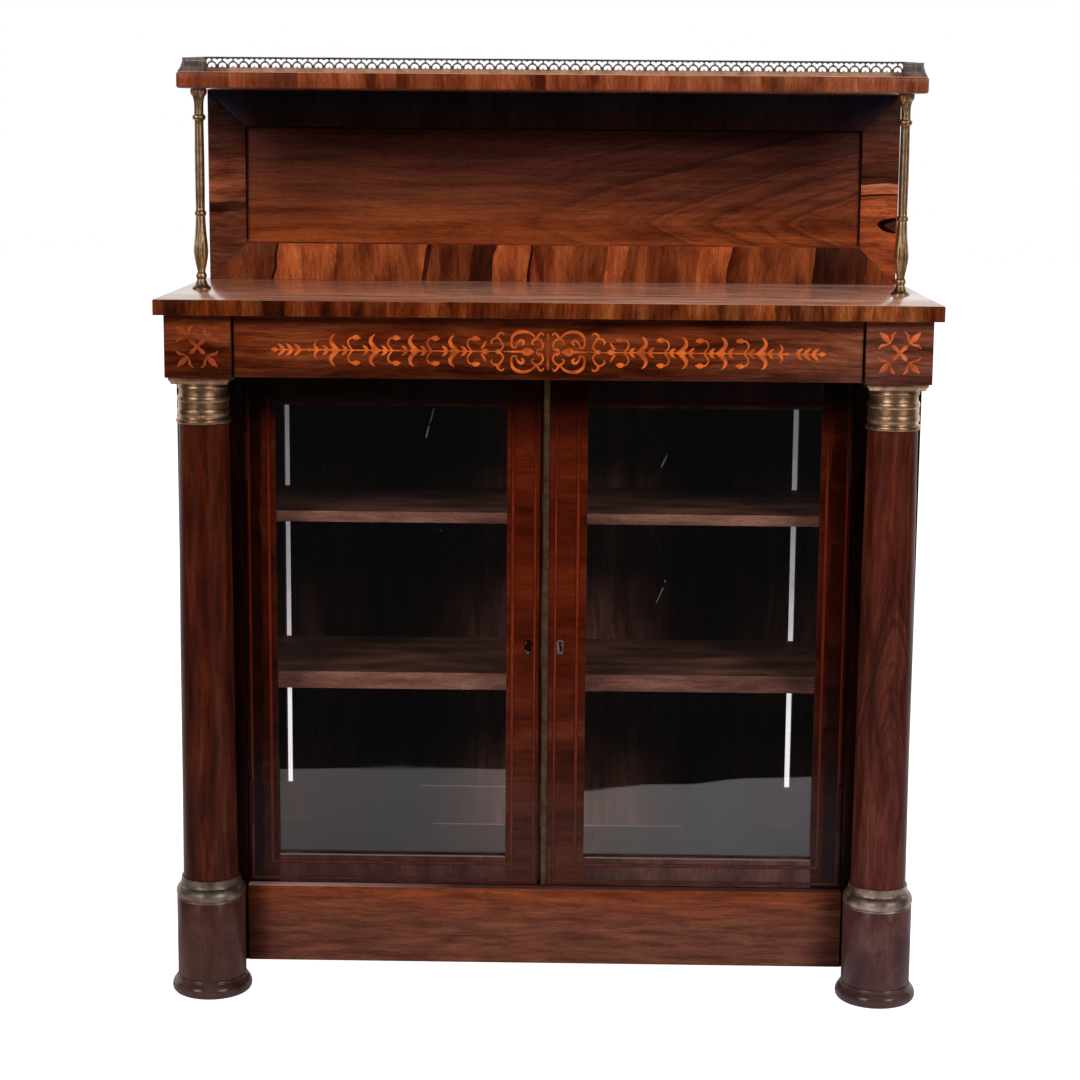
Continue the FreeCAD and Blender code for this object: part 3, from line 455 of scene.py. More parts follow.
def from_drawing(drawing):
    """The mesh that a drawn curve makes; the drawing is thrown away."""
    drawn = bpy.data.objects.new(drawing.name, drawing)
    mesh = bmesh.new()
    data = bpy.data.meshes.new_from_object(drawn)
    mesh.from_mesh(data)
    bpy.data.objects.remove(drawn)
    bpy.data.curves.remove(drawing)
    bpy.data.meshes.remove(data)
    return mesh


def traced(drawing, marks):
    """Adds a line through marks in millimetres to a drawing."""
    line = drawing.splines.new("POLY")
    line.points.add(len(marks) - 1)
    for point, mark in zip(line.points, marks):
        point.co = (mark[0] / 1000, mark[1] / 1000, 0, 1)
    return line


def turned(mesh, angle, axis):
    """Turns a mesh about its own origin."""
    bmesh.ops.rotate(mesh, verts=mesh.verts, cent=(0, 0, 0), matrix=Matrix.Rotation(angle, 3, axis))


def inlaid(name, strokes, centre, face_y, body, skin, proud=0.00012):
    """Flat inlay from strokes of (across, up, half width) marks in millimetres."""
    drawing = bpy.data.curves.new(name, "CURVE")
    drawing.dimensions = "3D"
    drawing.twist_mode = "Z_UP"
    drawing.bevel_depth = 0.001
    drawing.bevel_resolution = 1
    drawing.use_fill_caps = True
    thinnest = 0.15
    for stroke in strokes:
        marks = flow(stroke, 3)
        for point, mark in zip(traced(drawing, marks).points, marks):
            point.radius = max(mark[2], thinnest)
    mesh = from_drawing(drawing)
    top = max(vert.co.z for vert in mesh.verts)
    bmesh.ops.scale(mesh, verts=mesh.verts, vec=(1, 1, proud / top))
    turned(mesh, math.pi / 2, "X")
    moved(mesh, (centre[0], face_y, centre[1]))
    bmesh.ops.recalc_face_normals(mesh, faces=mesh.faces)
    return keep(name, mesh, body, skin, 1.2)


def mirrored(strokes):
    """The strokes with their reflections up and down and from side to side."""
    whole = list(strokes)
    whole += [[(x, -z, w) for x, z, w in stroke] for stroke in whole if any(z for x, z, w in stroke)]
    whole += [[(-x, z, w) for x, z, w in stroke] for stroke in whole if any(x for x, z, w in stroke)]
    return whole


centre_strokes = [
    [(0, -23.5, 0.5), (0, -20, 2.0), (0, -12, 1.6), (0, 0, 2.4), (0, 12, 1.6), (0, 20, 2.0), (0, 23.5, 0.5)],
    [(5.2, 20.5, 0.6), (7.4, 23.8, 1.0), (10.2, 23.2, 1.3), (13, 19.5, 1.5), (16, 16.2, 1.5),
     (19.6, 13.8, 1.1), (20.6, 10.8, 0.9), (17.8, 9.2, 0.6)],
    [(14.5, 17, 1.2), (9.2, 14.4, 1.3), (6.3, 9, 1.2), (7.8, 3.8, 1.1), (11, 1.2, 0.9)],
    [(15.5, 16.5, 0.9), (18.8, 21, 1.2), (24, 24.3, 1.6), (31.5, 25.7, 2.0), (39, 24.4, 2.2),
     (44.6, 20.2, 1.8), (46.7, 13, 1.4), (46, 7.2, 1.3), (42.5, 4.9, 1.0), (39.4, 6.8, 0.7)],
    [(41, 7.6, 0.8), (37.5, 13, 1.5), (33.6, 14.6, 1.9), (31, 11.4, 1.8), (34.2, 8.4, 0.9)],
    [(17.4, 0, 0.3), (21.5, 0, 3.2), (26.2, 0, 5.2), (30, 0, 4.0), (34, 0, 1.1)],
    [(15.2, 0.6, 0.7), (12.2, 2.9, 1.5), (10.4, 5.2, 0.5)],
    [(33, 0, 1.3), (55, 0, 1.1), (80, 0, 0.8), (345, 0, 0.75)],
    [(56, 21.6, 0.7), (58.4, 23.9, 1.1), (62, 23.1, 1.4), (64.4, 19.2, 1.5), (61.6, 15.4, 1.2),
     (58.2, 10.6, 1.2), (57.3, 6, 1.1), (60, 2.4, 1.1), (64.4, 0.6, 0.8)],
    [(64.4, 17.2, 1.2), (69, 16.4, 1.3), (72.3, 13, 1.1), (71, 9.6, 0.6)],
    [(60, 0, 0.5), (63.4, 0, 3.2), (67.2, 0, 0.5)],
    [(74.5, 0, 0.5), (80, 0, 3.6), (85.6, 0, 0.9)],
    [(85.2, 3.4, 1.5), (82.2, 7, 1.4), (79, 13, 0.4)],
    [(292, 0, 1.0), (296, 0, 2.0), (299, 0, 0.9)],
    [(293.5, 1.2, 1.1), (297.2, 4, 1.5), (297.6, 8, 1.1), (295, 12, 0.4)],
    [(302, 0, 0.6), (304.5, 0, 1.9), (307, 0, 0.6)],
    [(344.5, 0, 0.8), (348.6, 0, 3.0), (353.6, 0, 0.8)],
]
tip_leaf = [(0, 0, 0.6), (3.6, 2.9, 2.0), (6.4, 5.4, 1.6), (9, 7.6, 0.5)]
sprig = [
    [(86.3, 15.2, 0.3), (90, 16, 2.6), (93.4, 16.2, 3.2), (96.6, 16, 1.5)],
    [(96, 16.2, 0.9), (99.8, 15.2, 1.0), (102.6, 11.4, 1.0), (102, 6.6, 1.0), (98.8, 2.4, 1.0),
     (96.6, 0.4, 0.7)],
    [(102.6, 0, 0.4), (106.6, 0, 2.4), (110, 0, 0.7)],
    [(104.2, 1.0, 1.2), (107.4, 3.6, 1.8), (110.6, 6.2, 0.5)],
    [(111.4, 0, 0.6), (116, 0, 2.8), (121, 0, 3.2), (125, 0, 0.8)],
    [(116.5, 2.2, 1.6), (121.4, 5.6, 2.6), (124.8, 11, 2.3), (123.6, 16.4, 1.7), (119.4, 20.4, 0.4)],
    [(126.6, 0, 0.4), (130.6, 0, 2.3), (134, 0, 0.6)],
    [(128.4, 1.0, 1.2), (131.4, 3.6, 1.8), (134.8, 6.4, 0.5)],
]
for pattern, shifts in (([tip_leaf], (315, 325, 335.4)), (sprig, (0, 51.3, 101.4, 152.4))):
    for shift in shifts:
        centre_strokes += [[(shift + x, z, w) for x, z, w in stroke] for stroke in pattern]
drawer_face, block_face, drawer_middle = -0.189, -0.197, (0.0004, 0.869)
inlaid("drawer_inlay", mirrored(centre_strokes), drawer_middle, drawer_face, "drawer", inlay_wood)
corner_strokes = [
    [(0, 0, 2.0), (3.4, 3.4, 2.0), (6.8, 6.8, 2.7), (9.4, 9.4, 1.0)],
    [(11.5, 11.5, 0.4), (16.6, 16.8, 3.2), (20.4, 20.8, 3.4), (26, 26.2, 0.3)],
    [(12, 13.6, 0.7), (10, 19, 1.5), (9.2, 23.4, 1.6), (5, 27, 0.5)],
    [(13.6, 12, 0.7), (19, 10, 1.5), (23.4, 9.2, 1.6), (27, 5, 0.5)],
]
for side, sign, skin in (("left", -1, left_inlay), ("right", 1, right_inlay)):
    block_middle = (sign * 0.4465, 0.8725)
    inlaid("frieze_inlay_" + side, mirrored(corner_strokes), block_middle, block_face, "carcass", skin)


# ---- Shelves, floor and boards inside the cupboard ----
# Plain deal, stained brown and rubbed; dust has settled on the tops. The boarded back is stained
# thinly and was never polished, and its boards carry painted bounce light and shadow; a see-through
# sheet behind the two slits that they leave darkens them towards the top: painted shade.
def plain_wood(name, tone_of, rough=0.4):
    """Close-grained wood of one colour."""
    material, bench = finish(name, {"Specular IOR Level": 0.2})
    close = bench.noise(bench.place(), 300.0, 3.0)["Fac"]
    stops = [(at, [each * share for each in paint(*tone_of)]) for at, share in ((0.3, 0.7), (0.7, 1.2))]
    bench.give("Base Color", bench.shaded(close, stops))
    bench.give("Roughness", bench.spread(close, 0.0, 1.0, rough - 0.08, rough + 0.1))
    bench.bump(close, 0.08, 0.0002)
    return material


shelf_stain = rosewood(
    "shelf_stain", "X", ((54, 35, 30), (80, 54, 46), (106, 77, 67)), bold=7.0, stretch=3.5, shine=0.6,
    coat=0.0, lines=0.25)
shelf_front = rosewood(
    "shelf_front", "X", ((92, 62, 52), (124, 86, 74), (150, 110, 96)), shine=0.5, coat=0.1, lines=0.25)
for node in ("upper_shelf", "lower_shelf"):
    low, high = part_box(node)
    shelf = board("stained_" + node, low, high, "carcass", [shelf_stain, shelf_front], edge="Y")
    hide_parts(node)
back_stain = rosewood("back_stain", "Z", ((16, 10, 8), (30, 20, 18), (44, 30, 26)), shine=0.7, coat=0.0)
# The back boards are much lighter than the other stained parts, pale in the middle and at the ends with dark
# bands between: painted bounce light, and painted shadow of the door stiles.
back_deal_painted_bounce = rosewood(
    "back_deal_painted_bounce", "Z", ((48, 31, 27), (76, 50, 44), (98, 68, 60)), shine=0.7, coat=0.0, lines=0.3, seed=1.2,
    fades=[("X", -0.07, -0.15, (0.2, 0.2, 0.22)), ("X", -0.25, -0.33, (2.2, 2.2, 2.2)),
           ("X", 0.11, 0.2, (0.2, 0.2, 0.22)), ("X", 0.25, 0.32, (2.4, 2.4, 2.4))])
low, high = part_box("back_boards")
set_in, groove = 0.002, 0.0003
plank = (high[0] - low[0] - 2 * set_in) / 4
for number in range(4):
    start = low[0] + set_in + number * plank
    piece = board(
        f"back_plank_{number + 1}", (start, low[1], low[2]), (start + plank - groove, high[1], high[2]),
        "carcass", [back_deal_painted_bounce])
    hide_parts("back_boards")
dress("back_frame", back_deal_painted_bounce, 0.0004)
for node in ("rear_feet", "cupboard_floor", "shelf_bearers", "dust_board", "door_stops"):
    dress(node, back_stain, 0.0004)
oak = ((150, 104, 66), (182, 138, 92), (200, 158, 112))
for name, grain, lined in (("drawer_lining", "X", ("drawer_back", "drawer_bottom")),
                           ("drawer_side_lining", "Y", ("drawer_sides", "drawer_guides"))):
    lining = rosewood(name, grain, oak, shine=0.5, coat=0.0)
    for node in lined:
        dress(node, lining)
# A see-through sheet behind each slit dims the backdrop seen through it, more towards the top: painted shade.
slit_shade_sheet, bench = finish("slit_shade_sheet")
place = bench.place()
share = bench.spread(bench.part("SeparateXYZ", {"Vector": place})["Z"], 0.25, 0.75, 1.0, 0.0)
worn = bench.maths("MULTIPLY_ADD", bench.noise(place, 30.0, 2.0)["Fac"], 0.2, share)
light = bench.shaded(worn, [(0, (0.34, 0.34, 0.36)), (0.6, (0.56, 0.56, 0.58)), (1, (0.92, 0.92, 0.94))])
bench.instead(bench.part("BsdfTransparent", {"Color": light})[0])
half_slit, shade_sheet_front, shade_sheet_back, slit_foot, slit_head = 0.0055, 0.2092, 0.2096, 0.185, 0.847
for side, middle in (("left", -0.3825), ("right", 0.3545)):
    board("slit_painted_shade_" + side, (middle - half_slit, shade_sheet_front, slit_foot),
          (middle + half_slit, shade_sheet_back, slit_head), "carcass", [slit_shade_sheet], ease=0.0001)
dust = plain_wood("dust", (150, 132, 126), 0.8)
for name, low, high in (("back_rail_dust", (-0.19, 0.1912, 0.189), (0.03, 0.1948, 0.1894)),
                        ("cupboard_floor_dust", (-0.17, 0.1885, 0.132), (0.2, 0.1908, 0.1324))):
    board(name, low, high, "carcass", [dust], ease=0.0001)


# ---- Doors ----
# Each frame is crossbanded: the grain runs level on the stiles and upright on the rails, and two
# fine lines of stringing run round it. Thin old glass, held from behind by small beads, with a
# strip of bead along its sill, painted pale grey as a highlight.
# The stiles darken towards the hinge edges beside the columns and are lightest at the meeting stiles: painted
# shade. They darken under the frieze: painted shadow, and grow greyer towards the foot: painted reflection of
# the floor.
door_shade_bands = [(-0.41, 0.06), (-0.376, 0.25), (-0.2, 0.5), (0.2, 0.29), (0.378, 0.15), (0.41, 0.15)]
door_brown = ((52, 18, 10), (73, 28, 15), (92, 39, 21))
stile_veneer = rosewood(
    "stile_veneer", "X", door_brown, bold=4.5, stretch=6.0, sway=0.0015, leaves=door_shade_bands, lines=0.26,
    seed=6.0, fades=[("Z", 0.75, 0.805, (0.25, 0.25, 0.3)), ("Z", 0.5, 0.2, (0.62, 1.2, 2.6))])
# The rails darken under the frieze: painted shadow, and are lighter and greyer on the right door: painted
# sheen.
rail_brown = ((46, 27, 24), (60, 37, 34), (74, 48, 44))
rail_veneer = rosewood(
    "rail_veneer", "Z", rail_brown, bold=9.0, stretch=3.0, lines=0.14, seed=7.0,
    fades=[("Z", 0.75, 0.8, (0.3, 0.28, 0.32)), ("X", 0.02, 0.14, (1.6, 1.95, 2.0))])
for side in ("left", "right"):
    dress(side + "_door_stiles", stile_veneer, 0.0005)
    dress(side + "_door_rails", rail_veneer, 0.0005)
    dress(side + "_door_beads", rail_veneer, 0.0005)


def raised(mesh, faces, by):
    """Draws faces out of a mesh; gives the new corners back."""
    drawn = bmesh.ops.extrude_face_region(mesh, geom=faces)
    corners = [each for each in drawn["geom"] if isinstance(each, bmesh.types.BMVert)]
    bmesh.ops.translate(mesh, verts=corners, vec=by)
    return corners


def string_ring(name, left, right, foot, head, wide, face_y, proud, body, skin):
    """Thin line of wood let in round a rectangle; the corners given are its outer ones."""
    mesh = bmesh.new()
    outline = ((left, foot), (right, foot), (right, head), (left, head))
    face = mesh.faces.new([mesh.verts.new((x, face_y, z)) for x, z in outline])
    face.normal_update()
    bmesh.ops.inset_region(mesh, faces=[face], thickness=wide, use_boundary=True, use_even_offset=True)
    bmesh.ops.delete(mesh, geom=[face], context="FACES_ONLY")
    raised(mesh, mesh.faces[:], (0, -proud, 0))
    bmesh.ops.recalc_face_normals(mesh, faces=mesh.faces)
    return keep(name, mesh, body, skin)


# Both stringing woods darken under the frieze: painted shadow, and grow greyer towards the foot: painted
# reflection of the floor.
line_light = rosewood(
    "line_light", "Z", ((84, 30, 17), (98, 37, 21), (112, 45, 27)), lines=0.1, seed=6.6,
    fades=[("Z", 0.68, 0.79, (0.22, 0.22, 0.28)), ("Z", 0.46, 0.18, (0.5, 1.0, 1.8))])
line_dark = rosewood(
    "line_dark", "Z", ((22, 7, 4), (28, 9, 6), (34, 12, 8)), lines=0.1, seed=6.8,
    fades=[("Z", 0.75, 0.8, (0.4, 0.4, 0.4)), ("Z", 0.4, 0.2, (1.6, 3.0, 4.0))])
door_face = -0.098
layers = (("_bed", 0.0007, 0.00005, line_dark), ("", 0.0, 0.0001, line_light))
for side, inner, outer in (("left", (-0.3700, -0.0455), (-0.3962, -0.0158)),
                           ("right", (0.0411, 0.3697), (0.0118, 0.3962))):
    for label, half, (left, right), (foot, head) in (("inner", 0.0019, inner, (0.1622, 0.7945)),
                                                     ("outer", 0.0015, outer, (0.1390, 0.8245))):
        for layer, extra, proud, wood in layers:
            reach = half + extra
            string_ring(f"{side}_{label}_string{layer}", left - reach, right + reach, foot - reach,
                        head + reach, 2 * reach, door_face, proud, side + "_door", wood)
# The sill bead is pale grey: painted highlight along the foot of each pane.
sill_bead_highlight = plain_wood("sill_bead_highlight", (108, 92, 86), 0.5)
bead_front, bead_back, bead_foot, bead_head = -0.0978, -0.0945, 0.1708, 0.1727
for side, left, right in (("left", -0.3607, -0.0538), ("right", 0.0538, 0.3607)):
    board(side + "_sill_bead", (left, bead_front, bead_foot), (right, bead_back, bead_head), side + "_door",
          [sill_bead_highlight], ease=0.0004)

pane_glass, bench = finish("pane_glass")
haze = bench.spread(bench.noise(bench.place(), 9.0, 2.0)["Fac"], 0.4, 0.8, 0.0, 0.05)
clear = bench.part("BsdfTransparent", {"Color": (0.92, 0.9, 0.89, 1)})[0]
mirror = bench.part("BsdfAnisotropic", {"Color": (*white, 1), "Roughness": haze})[0]
edge_on = bench.maths("POWER", bench.part("LayerWeight", {"Blend": 0.5})["Facing"], 5.0)
share = bench.maths("MULTIPLY_ADD", edge_on, 0.95, 0.048)
bench.instead(bench.part("MixShader", {0: share, 1: clear, 2: mirror})[0])
for side in ("left", "right"):
    dress(side + "_door_glass", pane_glass, 0)
    nodes[side + "_door_glass"].visible_shadow = False


# ---- Brass and iron ----
# Brass lacquered once, now brown in the hollows and rubbed bright on the high parts: keyhole
# plates, bolts, closing strip. Iron lock and hinges. The wear of the door glass is drawn here too.
def brass(name, bright, dull, rough, metal=1.0):
    """Aged brass with cloudy tarnish."""
    material, bench = finish(name, {"Metallic": metal})
    place = bench.place()
    cloud = bench.noise(place, 60.0, 6.0, 0.65)["Fac"]
    bench.give("Base Color", bench.shaded(cloud, [(0.32, paint(*dull)), (0.68, paint(*bright))]))
    bench.give("Roughness", bench.spread(cloud, 0.3, 0.7, rough + 0.16, rough))
    bench.bump(bench.noise(place, 420.0, 2.0)["Fac"], 0.1, 0.0003)
    return material


warm_brass = brass("warm_brass", (222, 186, 142), (138, 106, 74), 0.28)
dull_brass = brass("dull_brass", (158, 140, 124), (88, 74, 64), 0.38)
# Dark red-brown for the hinge leaves: painted shade, as they sit in the shadow beside the columns.
hinge_painted_shade = plain_wood("hinge_painted_shade", (40, 15, 9), 0.7)
left_capital = brass("left_capital", (220, 174, 139), (127, 96, 70), 0.28)
right_capital = brass("right_capital", (238, 192, 154), (144, 110, 82), 0.28)
bright_ring = brass("bright_ring", (194, 174, 158), (110, 94, 84), 0.36)
fret_brass = brass("fret_brass", (168, 146, 136), (96, 80, 76), 0.42)
closing_brass = brass("closing_brass", (112, 90, 72), (76, 56, 44), 0.5)
plate_black = brass("plate_black", (52, 34, 26), (16, 10, 8), 0.4)
plate_steel = brass("plate_steel", (190, 176, 168), (92, 78, 72), 0.35)
lock_metal = brass("lock_metal", (150, 148, 144), (96, 94, 92), 0.32)
for node, metal, ease in (
    ("rod_plates", warm_brass, 0.0002), ("top_rod", warm_brass, 0.0002), ("bottom_rod", warm_brass, 0.0002),
    ("left_escutcheon", plate_black, 0.0002), ("right_escutcheon", plate_steel, 0.0002),
    ("door_astragal", closing_brass, 0), ("lock_case", lock_metal, 0.0005), ("lock_bolt", lock_metal, 0.0003),
):
    dress(node, metal, ease)
for side in ("left", "right"):
    dress(side + "_hinge_case_leaves", hinge_painted_shade, 0)
    dress(side + "_hinge_door_leaves", hinge_painted_shade, 0)
for side, black, pale in (
    ("left", [[(0.3, 7.2, 0.9), (0.3, 4.0, 1.9), (0.3, 0, 1.6), (0, -5.0, 1.7)]],
     [[(-2.9, -4.4, 0.4), (-2.2, -7.2, 0.9), (0, -8.4, 1.2), (2.0, -7.4, 0.6)],
      [(-2.8, 7.0, 0.4), (-3.2, 3.0, 0.5)]]),
    ("right", [[(0.6, 2.2, 0.5), (1.0, 0.2, 1.4), (1.2, -4.2, 1.5), (0.8, -6.2, 0.6)]], []),
):
    low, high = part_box(side + "_escutcheon")
    middle = ((low[0] + high[0]) / 2, (low[2] + high[2]) / 2)
    inlaid(side + "_keyhole", black, middle, low[1], side + "_door", line_dark)
    if pale:
        inlaid(side + "_keyhole_rim", pale, middle, low[1], side + "_door", plate_steel)
scratch = plain_wood("scratch", (72, 66, 66), 0.5)
for side, strokes in (
    ("left", [[(-150.8, 784.4, 0.7), (-153.2, 775, 1.1), (-156.6, 764, 0.6)],
              [(-157.4, 761, 0.8), (-159.6, 752, 1.4), (-161.4, 744.4, 1.0)],
              [(-143.2, 621.4, 0.5), (-142.0, 619, 0.7)]]),
    ("right", [[(157.6, 724.9, 0.5), (154, 716, 1.0), (150, 707.8, 0.6)],
               [(158.2, 556, 1.1), (157.2, 553, 1.3)],
               [(155.5, 546, 1.1), (151, 535, 0.8), (146.3, 524.1, 0.5)],
               [(64.9, 205, 1.2), (65.6, 200.4, 0.9)], [(81.8, 201.6, 0.7), (82.9, 201.0, 0.7)],
               [(182.8, 250.5, 0.5), (183.6, 250.2, 0.5)]]),
):
    pane_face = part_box(side + "_door_glass")[0][1]
    inlaid(side + "_glass_scratches", strokes, (0, 0), pane_face, side + "_door", scratch, 0.00005)


# ---- Columns ----
# Turned and veneered shafts between a brass capital and a brass ring, on a veneered drum and a
# turned bun foot. The shaft tapers from 36.5 mm to 32.5 mm in radius.
def spun(name, runs, x, y, body, skin, steps=64, lobes=None):
    """Turned piece from runs of (radius, height) marks that rise from the foot."""
    mesh = bmesh.new()
    foot, head = (0, runs[0][0][1]), (0, runs[-1][-1][1])
    line = [foot] + [tuple(point) for run in runs for point in flow(run)] + [head]
    verts = [mesh.verts.new((radius / 1000, 0, height / 1000)) for radius, height in line]
    edges = [mesh.edges.new(pair) for pair in zip(verts, verts[1:])]
    bmesh.ops.spin(mesh, geom=verts + edges, cent=(0, 0, 0), axis=(0, 0, 1), angle=2 * math.pi,
                   steps=steps, use_merge=True)
    bmesh.ops.remove_doubles(mesh, verts=mesh.verts, dist=0.000002)
    if lobes:
        for vert in mesh.verts:
            swell = lobes(math.atan2(vert.co.y, vert.co.x), vert.co.z * 1000)
            vert.co.x *= swell
            vert.co.y *= swell
    bmesh.ops.recalc_face_normals(mesh, faces=mesh.faces)
    moved(mesh, (x, y, 0))
    return keep(name, mesh, body, skin)


column_x, column_y = 0.4465, -0.152
left_brown = ((42, 14, 7), (64, 25, 12), (86, 38, 20))
right_brown = ((52, 20, 13), (76, 34, 23), (100, 50, 36))
# Both shafts grow greyer towards the foot: painted reflection of the floor.
left_column = rosewood(
    "left_column", "Z", left_brown, bold=8.0, seed=8.0, sway=0.003, coat=0.16, gloss=0.5, lines=0.35,
    fades=[("Z", 0.5, 0.2, (0.86, 1.1, 1.7))])
right_column = rosewood(
    "right_column", "Z", right_brown, bold=8.0, seed=12.0, sway=0.003, coat=0.16, gloss=0.5, lines=0.35,
    fades=[("Z", 0.5, 0.2, (0.96, 1.15, 1.5))], peaks=(0.3, 0.62, 0.06, 0.452, -2.0, -60.0, 60.0, 0.6))
# The right drum is lighter and greyer than the left: painted sheen.
drum_veneer = rosewood(
    "drum_veneer", "Z", ((50, 31, 28), (66, 41, 37), (82, 55, 48)), bold=12.0, stretch=1.6, seed=9.0,
    coat=0.25, gloss=0.2, lines=0.15, fades=[("X", 0.0, 0.3, (1.36, 1.5, 1.7))])
foot_veneer = rosewood(
    "foot_veneer", "X", ((44, 30, 28), (62, 44, 41), (80, 60, 56)), bold=12.0, stretch=1.6, seed=9.6,
    coat=0.6, gloss=0.12, lines=0.15)
shaft_runs = [[(36.5, 160.2), (35.6, 300), (34.9, 500), (32.5, 770.5)]]
drum_runs = [[(45.2, 24.5), (45.5, 25.0)], [(45.5, 130.0), (45.2, 130.5)]]
capital_runs = [
    [(34.6, 770.5), (35.6, 771.4), (35.9, 773.4), (35.6, 775.4), (34.6, 776.4)],
    [(33.0, 777.2), (32.6, 778.5), (32.8, 779.8)],
    [(33.4, 780.6), (34.1, 782.6), (34.3, 785.0), (34.1, 787.4), (33.4, 789.4)],
    [(32.4, 790.0), (32.4, 791.0)],
    [(33.2, 791.5), (33.2, 797.0)],
    [(32.6, 797.4), (32.6, 798.2)],
    [(33.2, 798.7), (33.9, 800.6), (34.1, 802.4), (33.9, 804.4), (33.2, 806.2)],
    [(32.0, 806.9), (31.6, 811.0), (31.8, 815.0)],
    [(33.0, 815.6), (33.3, 817.4), (33.0, 818.9)],
    [(32.0, 819.6), (32.0, 823.2)],
]
ring_runs = [
    [(45.0, 130.5), (45.6, 131.5), (45.2, 132.6)],
    [(44.2, 133.0), (44.2, 133.6)],
    [(45.2, 134.2), (46.1, 137.2), (46.2, 140.6), (45.2, 144.2), (43.2, 147.4), (41.6, 149.2)],
    [(40.6, 149.8), (39.8, 152.6), (39.3, 156.4), (38.7, 160.2)],
]
foot_runs = [
    [(44.0, 0.0), (49.5, 1.2), (52.6, 4.8), (53.2, 9.6), (52.0, 14.6), (49.4, 18.4)],
    [(48.0, 19.2), (47.0, 20.4), (46.6, 22.6), (45.6, 24.5)],
]
abacus_steps = ((0.0364, 0.0018), (0.0372, 0.0016), (0.0386, 0.0012), (0.0392, 0.0004), (0.0392, 0.0038))
for side, sign, skin, capital, ring in (("left", -1, left_column, left_capital, dull_brass),
                                        ("right", 1, right_column, right_capital, bright_ring)):
    for label, runs, node, slot, cover in (
        ("shaft", shaft_runs, "column_shaft_" + side, "rosewood_column", skin),
        ("drum", drum_runs, "column_drum_" + side, "rosewood_column", drum_veneer),
        ("capital", capital_runs, "column_capitals", "lacquered_brass", capital),
        ("ring", ring_runs, "column_base_rings", "dull_brass", ring),
        ("foot", foot_runs, "column_feet", "rosewood_column", foot_veneer),
    ):
        piece = spun(f"turned_{label}_{side}", runs, sign * column_x, column_y, "carcass", cover, steps=72)
        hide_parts(node)
    low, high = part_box("abacus_" + side)
    middle_x = sign * column_x
    mesh = bmesh.new()
    bmesh.ops.create_grid(mesh, x_segments=1, y_segments=1, size=0.0361)
    moved(mesh, (middle_x, column_y, low[2]))
    for half, rise in abacus_steps:
        top = max(mesh.faces, key=lambda face: face.calc_center_median().z)
        corners = raised(mesh, [top], (0, 0, rise))
        bmesh.ops.delete(mesh, geom=[top], context="FACES_ONLY")
        wide = max(vert.co.x for vert in corners) - middle_x
        centre = Matrix.Translation((-middle_x, -column_y, 0))
        bmesh.ops.scale(mesh, verts=corners, vec=(half / wide, half / wide, 1), space=centre)
    bmesh.ops.holes_fill(mesh, edges=[edge for edge in mesh.edges if edge.is_boundary])
    bmesh.ops.recalc_face_normals(mesh, faces=mesh.faces)
    eased(mesh, 0.0003)
    piece = keep("abacus_plate_" + side, mesh, "carcass", capital)
    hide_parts("abacus_" + side)

# ---- Superstructure back ----
# A mitred frame crossbanded in bold leaves round a sunk panel of well figured rosewood, with a
# narrow moulding between them, painted near black as the shadow of the sunk edge and pale along its
# foot as a highlight. A dark knot shows in the right stile.
# The panel darkens and turns bluish towards the top: painted shadow of the shelf; towards its foot it is
# lighter and warmer.
panel_veneer = rosewood(
    "panel_veneer", "X", ((85, 42, 29), (108, 56, 36), (128, 69, 44)), bold=3.2, stretch=15.0, sway=0.0014,
    lines=0.26, seed=0.4, peaks=(-0.1, 1.0, 0.2, 1.018, 2.2, 8.0, 24.0, 0.5),
    fades=[("Z", 1.02, 1.14, (0.46, 0.6, 1.15)), ("Z", 1.05, 0.995, (1.3, 1.12, 0.72))])
dress("back_panel", panel_veneer, 0)
rail_leaves = [
    (-0.5, 0.2), (-0.391, 0.0), (-0.3876, 0.66), (-0.3076, 0.0), (-0.3056, 0.4), (-0.178, 0.04),
    (-0.168, 0.22), (-0.112, 0.04), (-0.0785, 0.62), (-0.03, 0.0), (-0.0272, 0.46), (0.038, 0.32),
    (0.0754, 0.28), (0.079, 0.7), (0.1082, 0.24), (0.118, 0.32), (0.2126, 0.0), (0.2146, 0.68),
    (0.2563, 0.28), (0.28, 0.34), (0.3774, 0.03), (0.41, 0.1), (0.45, 0.3), (0.5, 0.3)]
stile_leaves = [
    (0.93, 0.24), (1.034, 0.14), (1.046, 0.04), (1.05, 0.52), (1.086, 0.36), (1.112, 0.22), (1.2, 0.05)]
right_leaves = [
    (0.93, 0.48), (1.061, 0.1), (1.065, 0.85), (1.079, 0.12), (1.11, 0.4), (1.14, 0.34), (1.2, 0.08)]
frame_brown = ((80, 33, 20), (126, 63, 38), (162, 87, 50))
stile_brown = ((78, 37, 28), (122, 69, 52), (156, 93, 70))
# The head rail takes darker browns than the other rails and turns bluish at the very top: painted shadow of
# the shelf.
head_brown = ((46, 26, 24), (60, 35, 33), (74, 45, 41))
rail_skin = rosewood(
    "rail_skin", "Z", frame_brown, bold=8.0, stretch=4.0, leaves=rail_leaves, lean=-0.15, lines=0.35,
    seed=2.6)
head_skin = rosewood(
    "head_rail_skin", "Z", head_brown, bold=5.0, stretch=4.0, lines=0.2, seed=2.7,
    fades=[("Z", 1.15, 1.18, (0.56, 1.4, 3.2))])
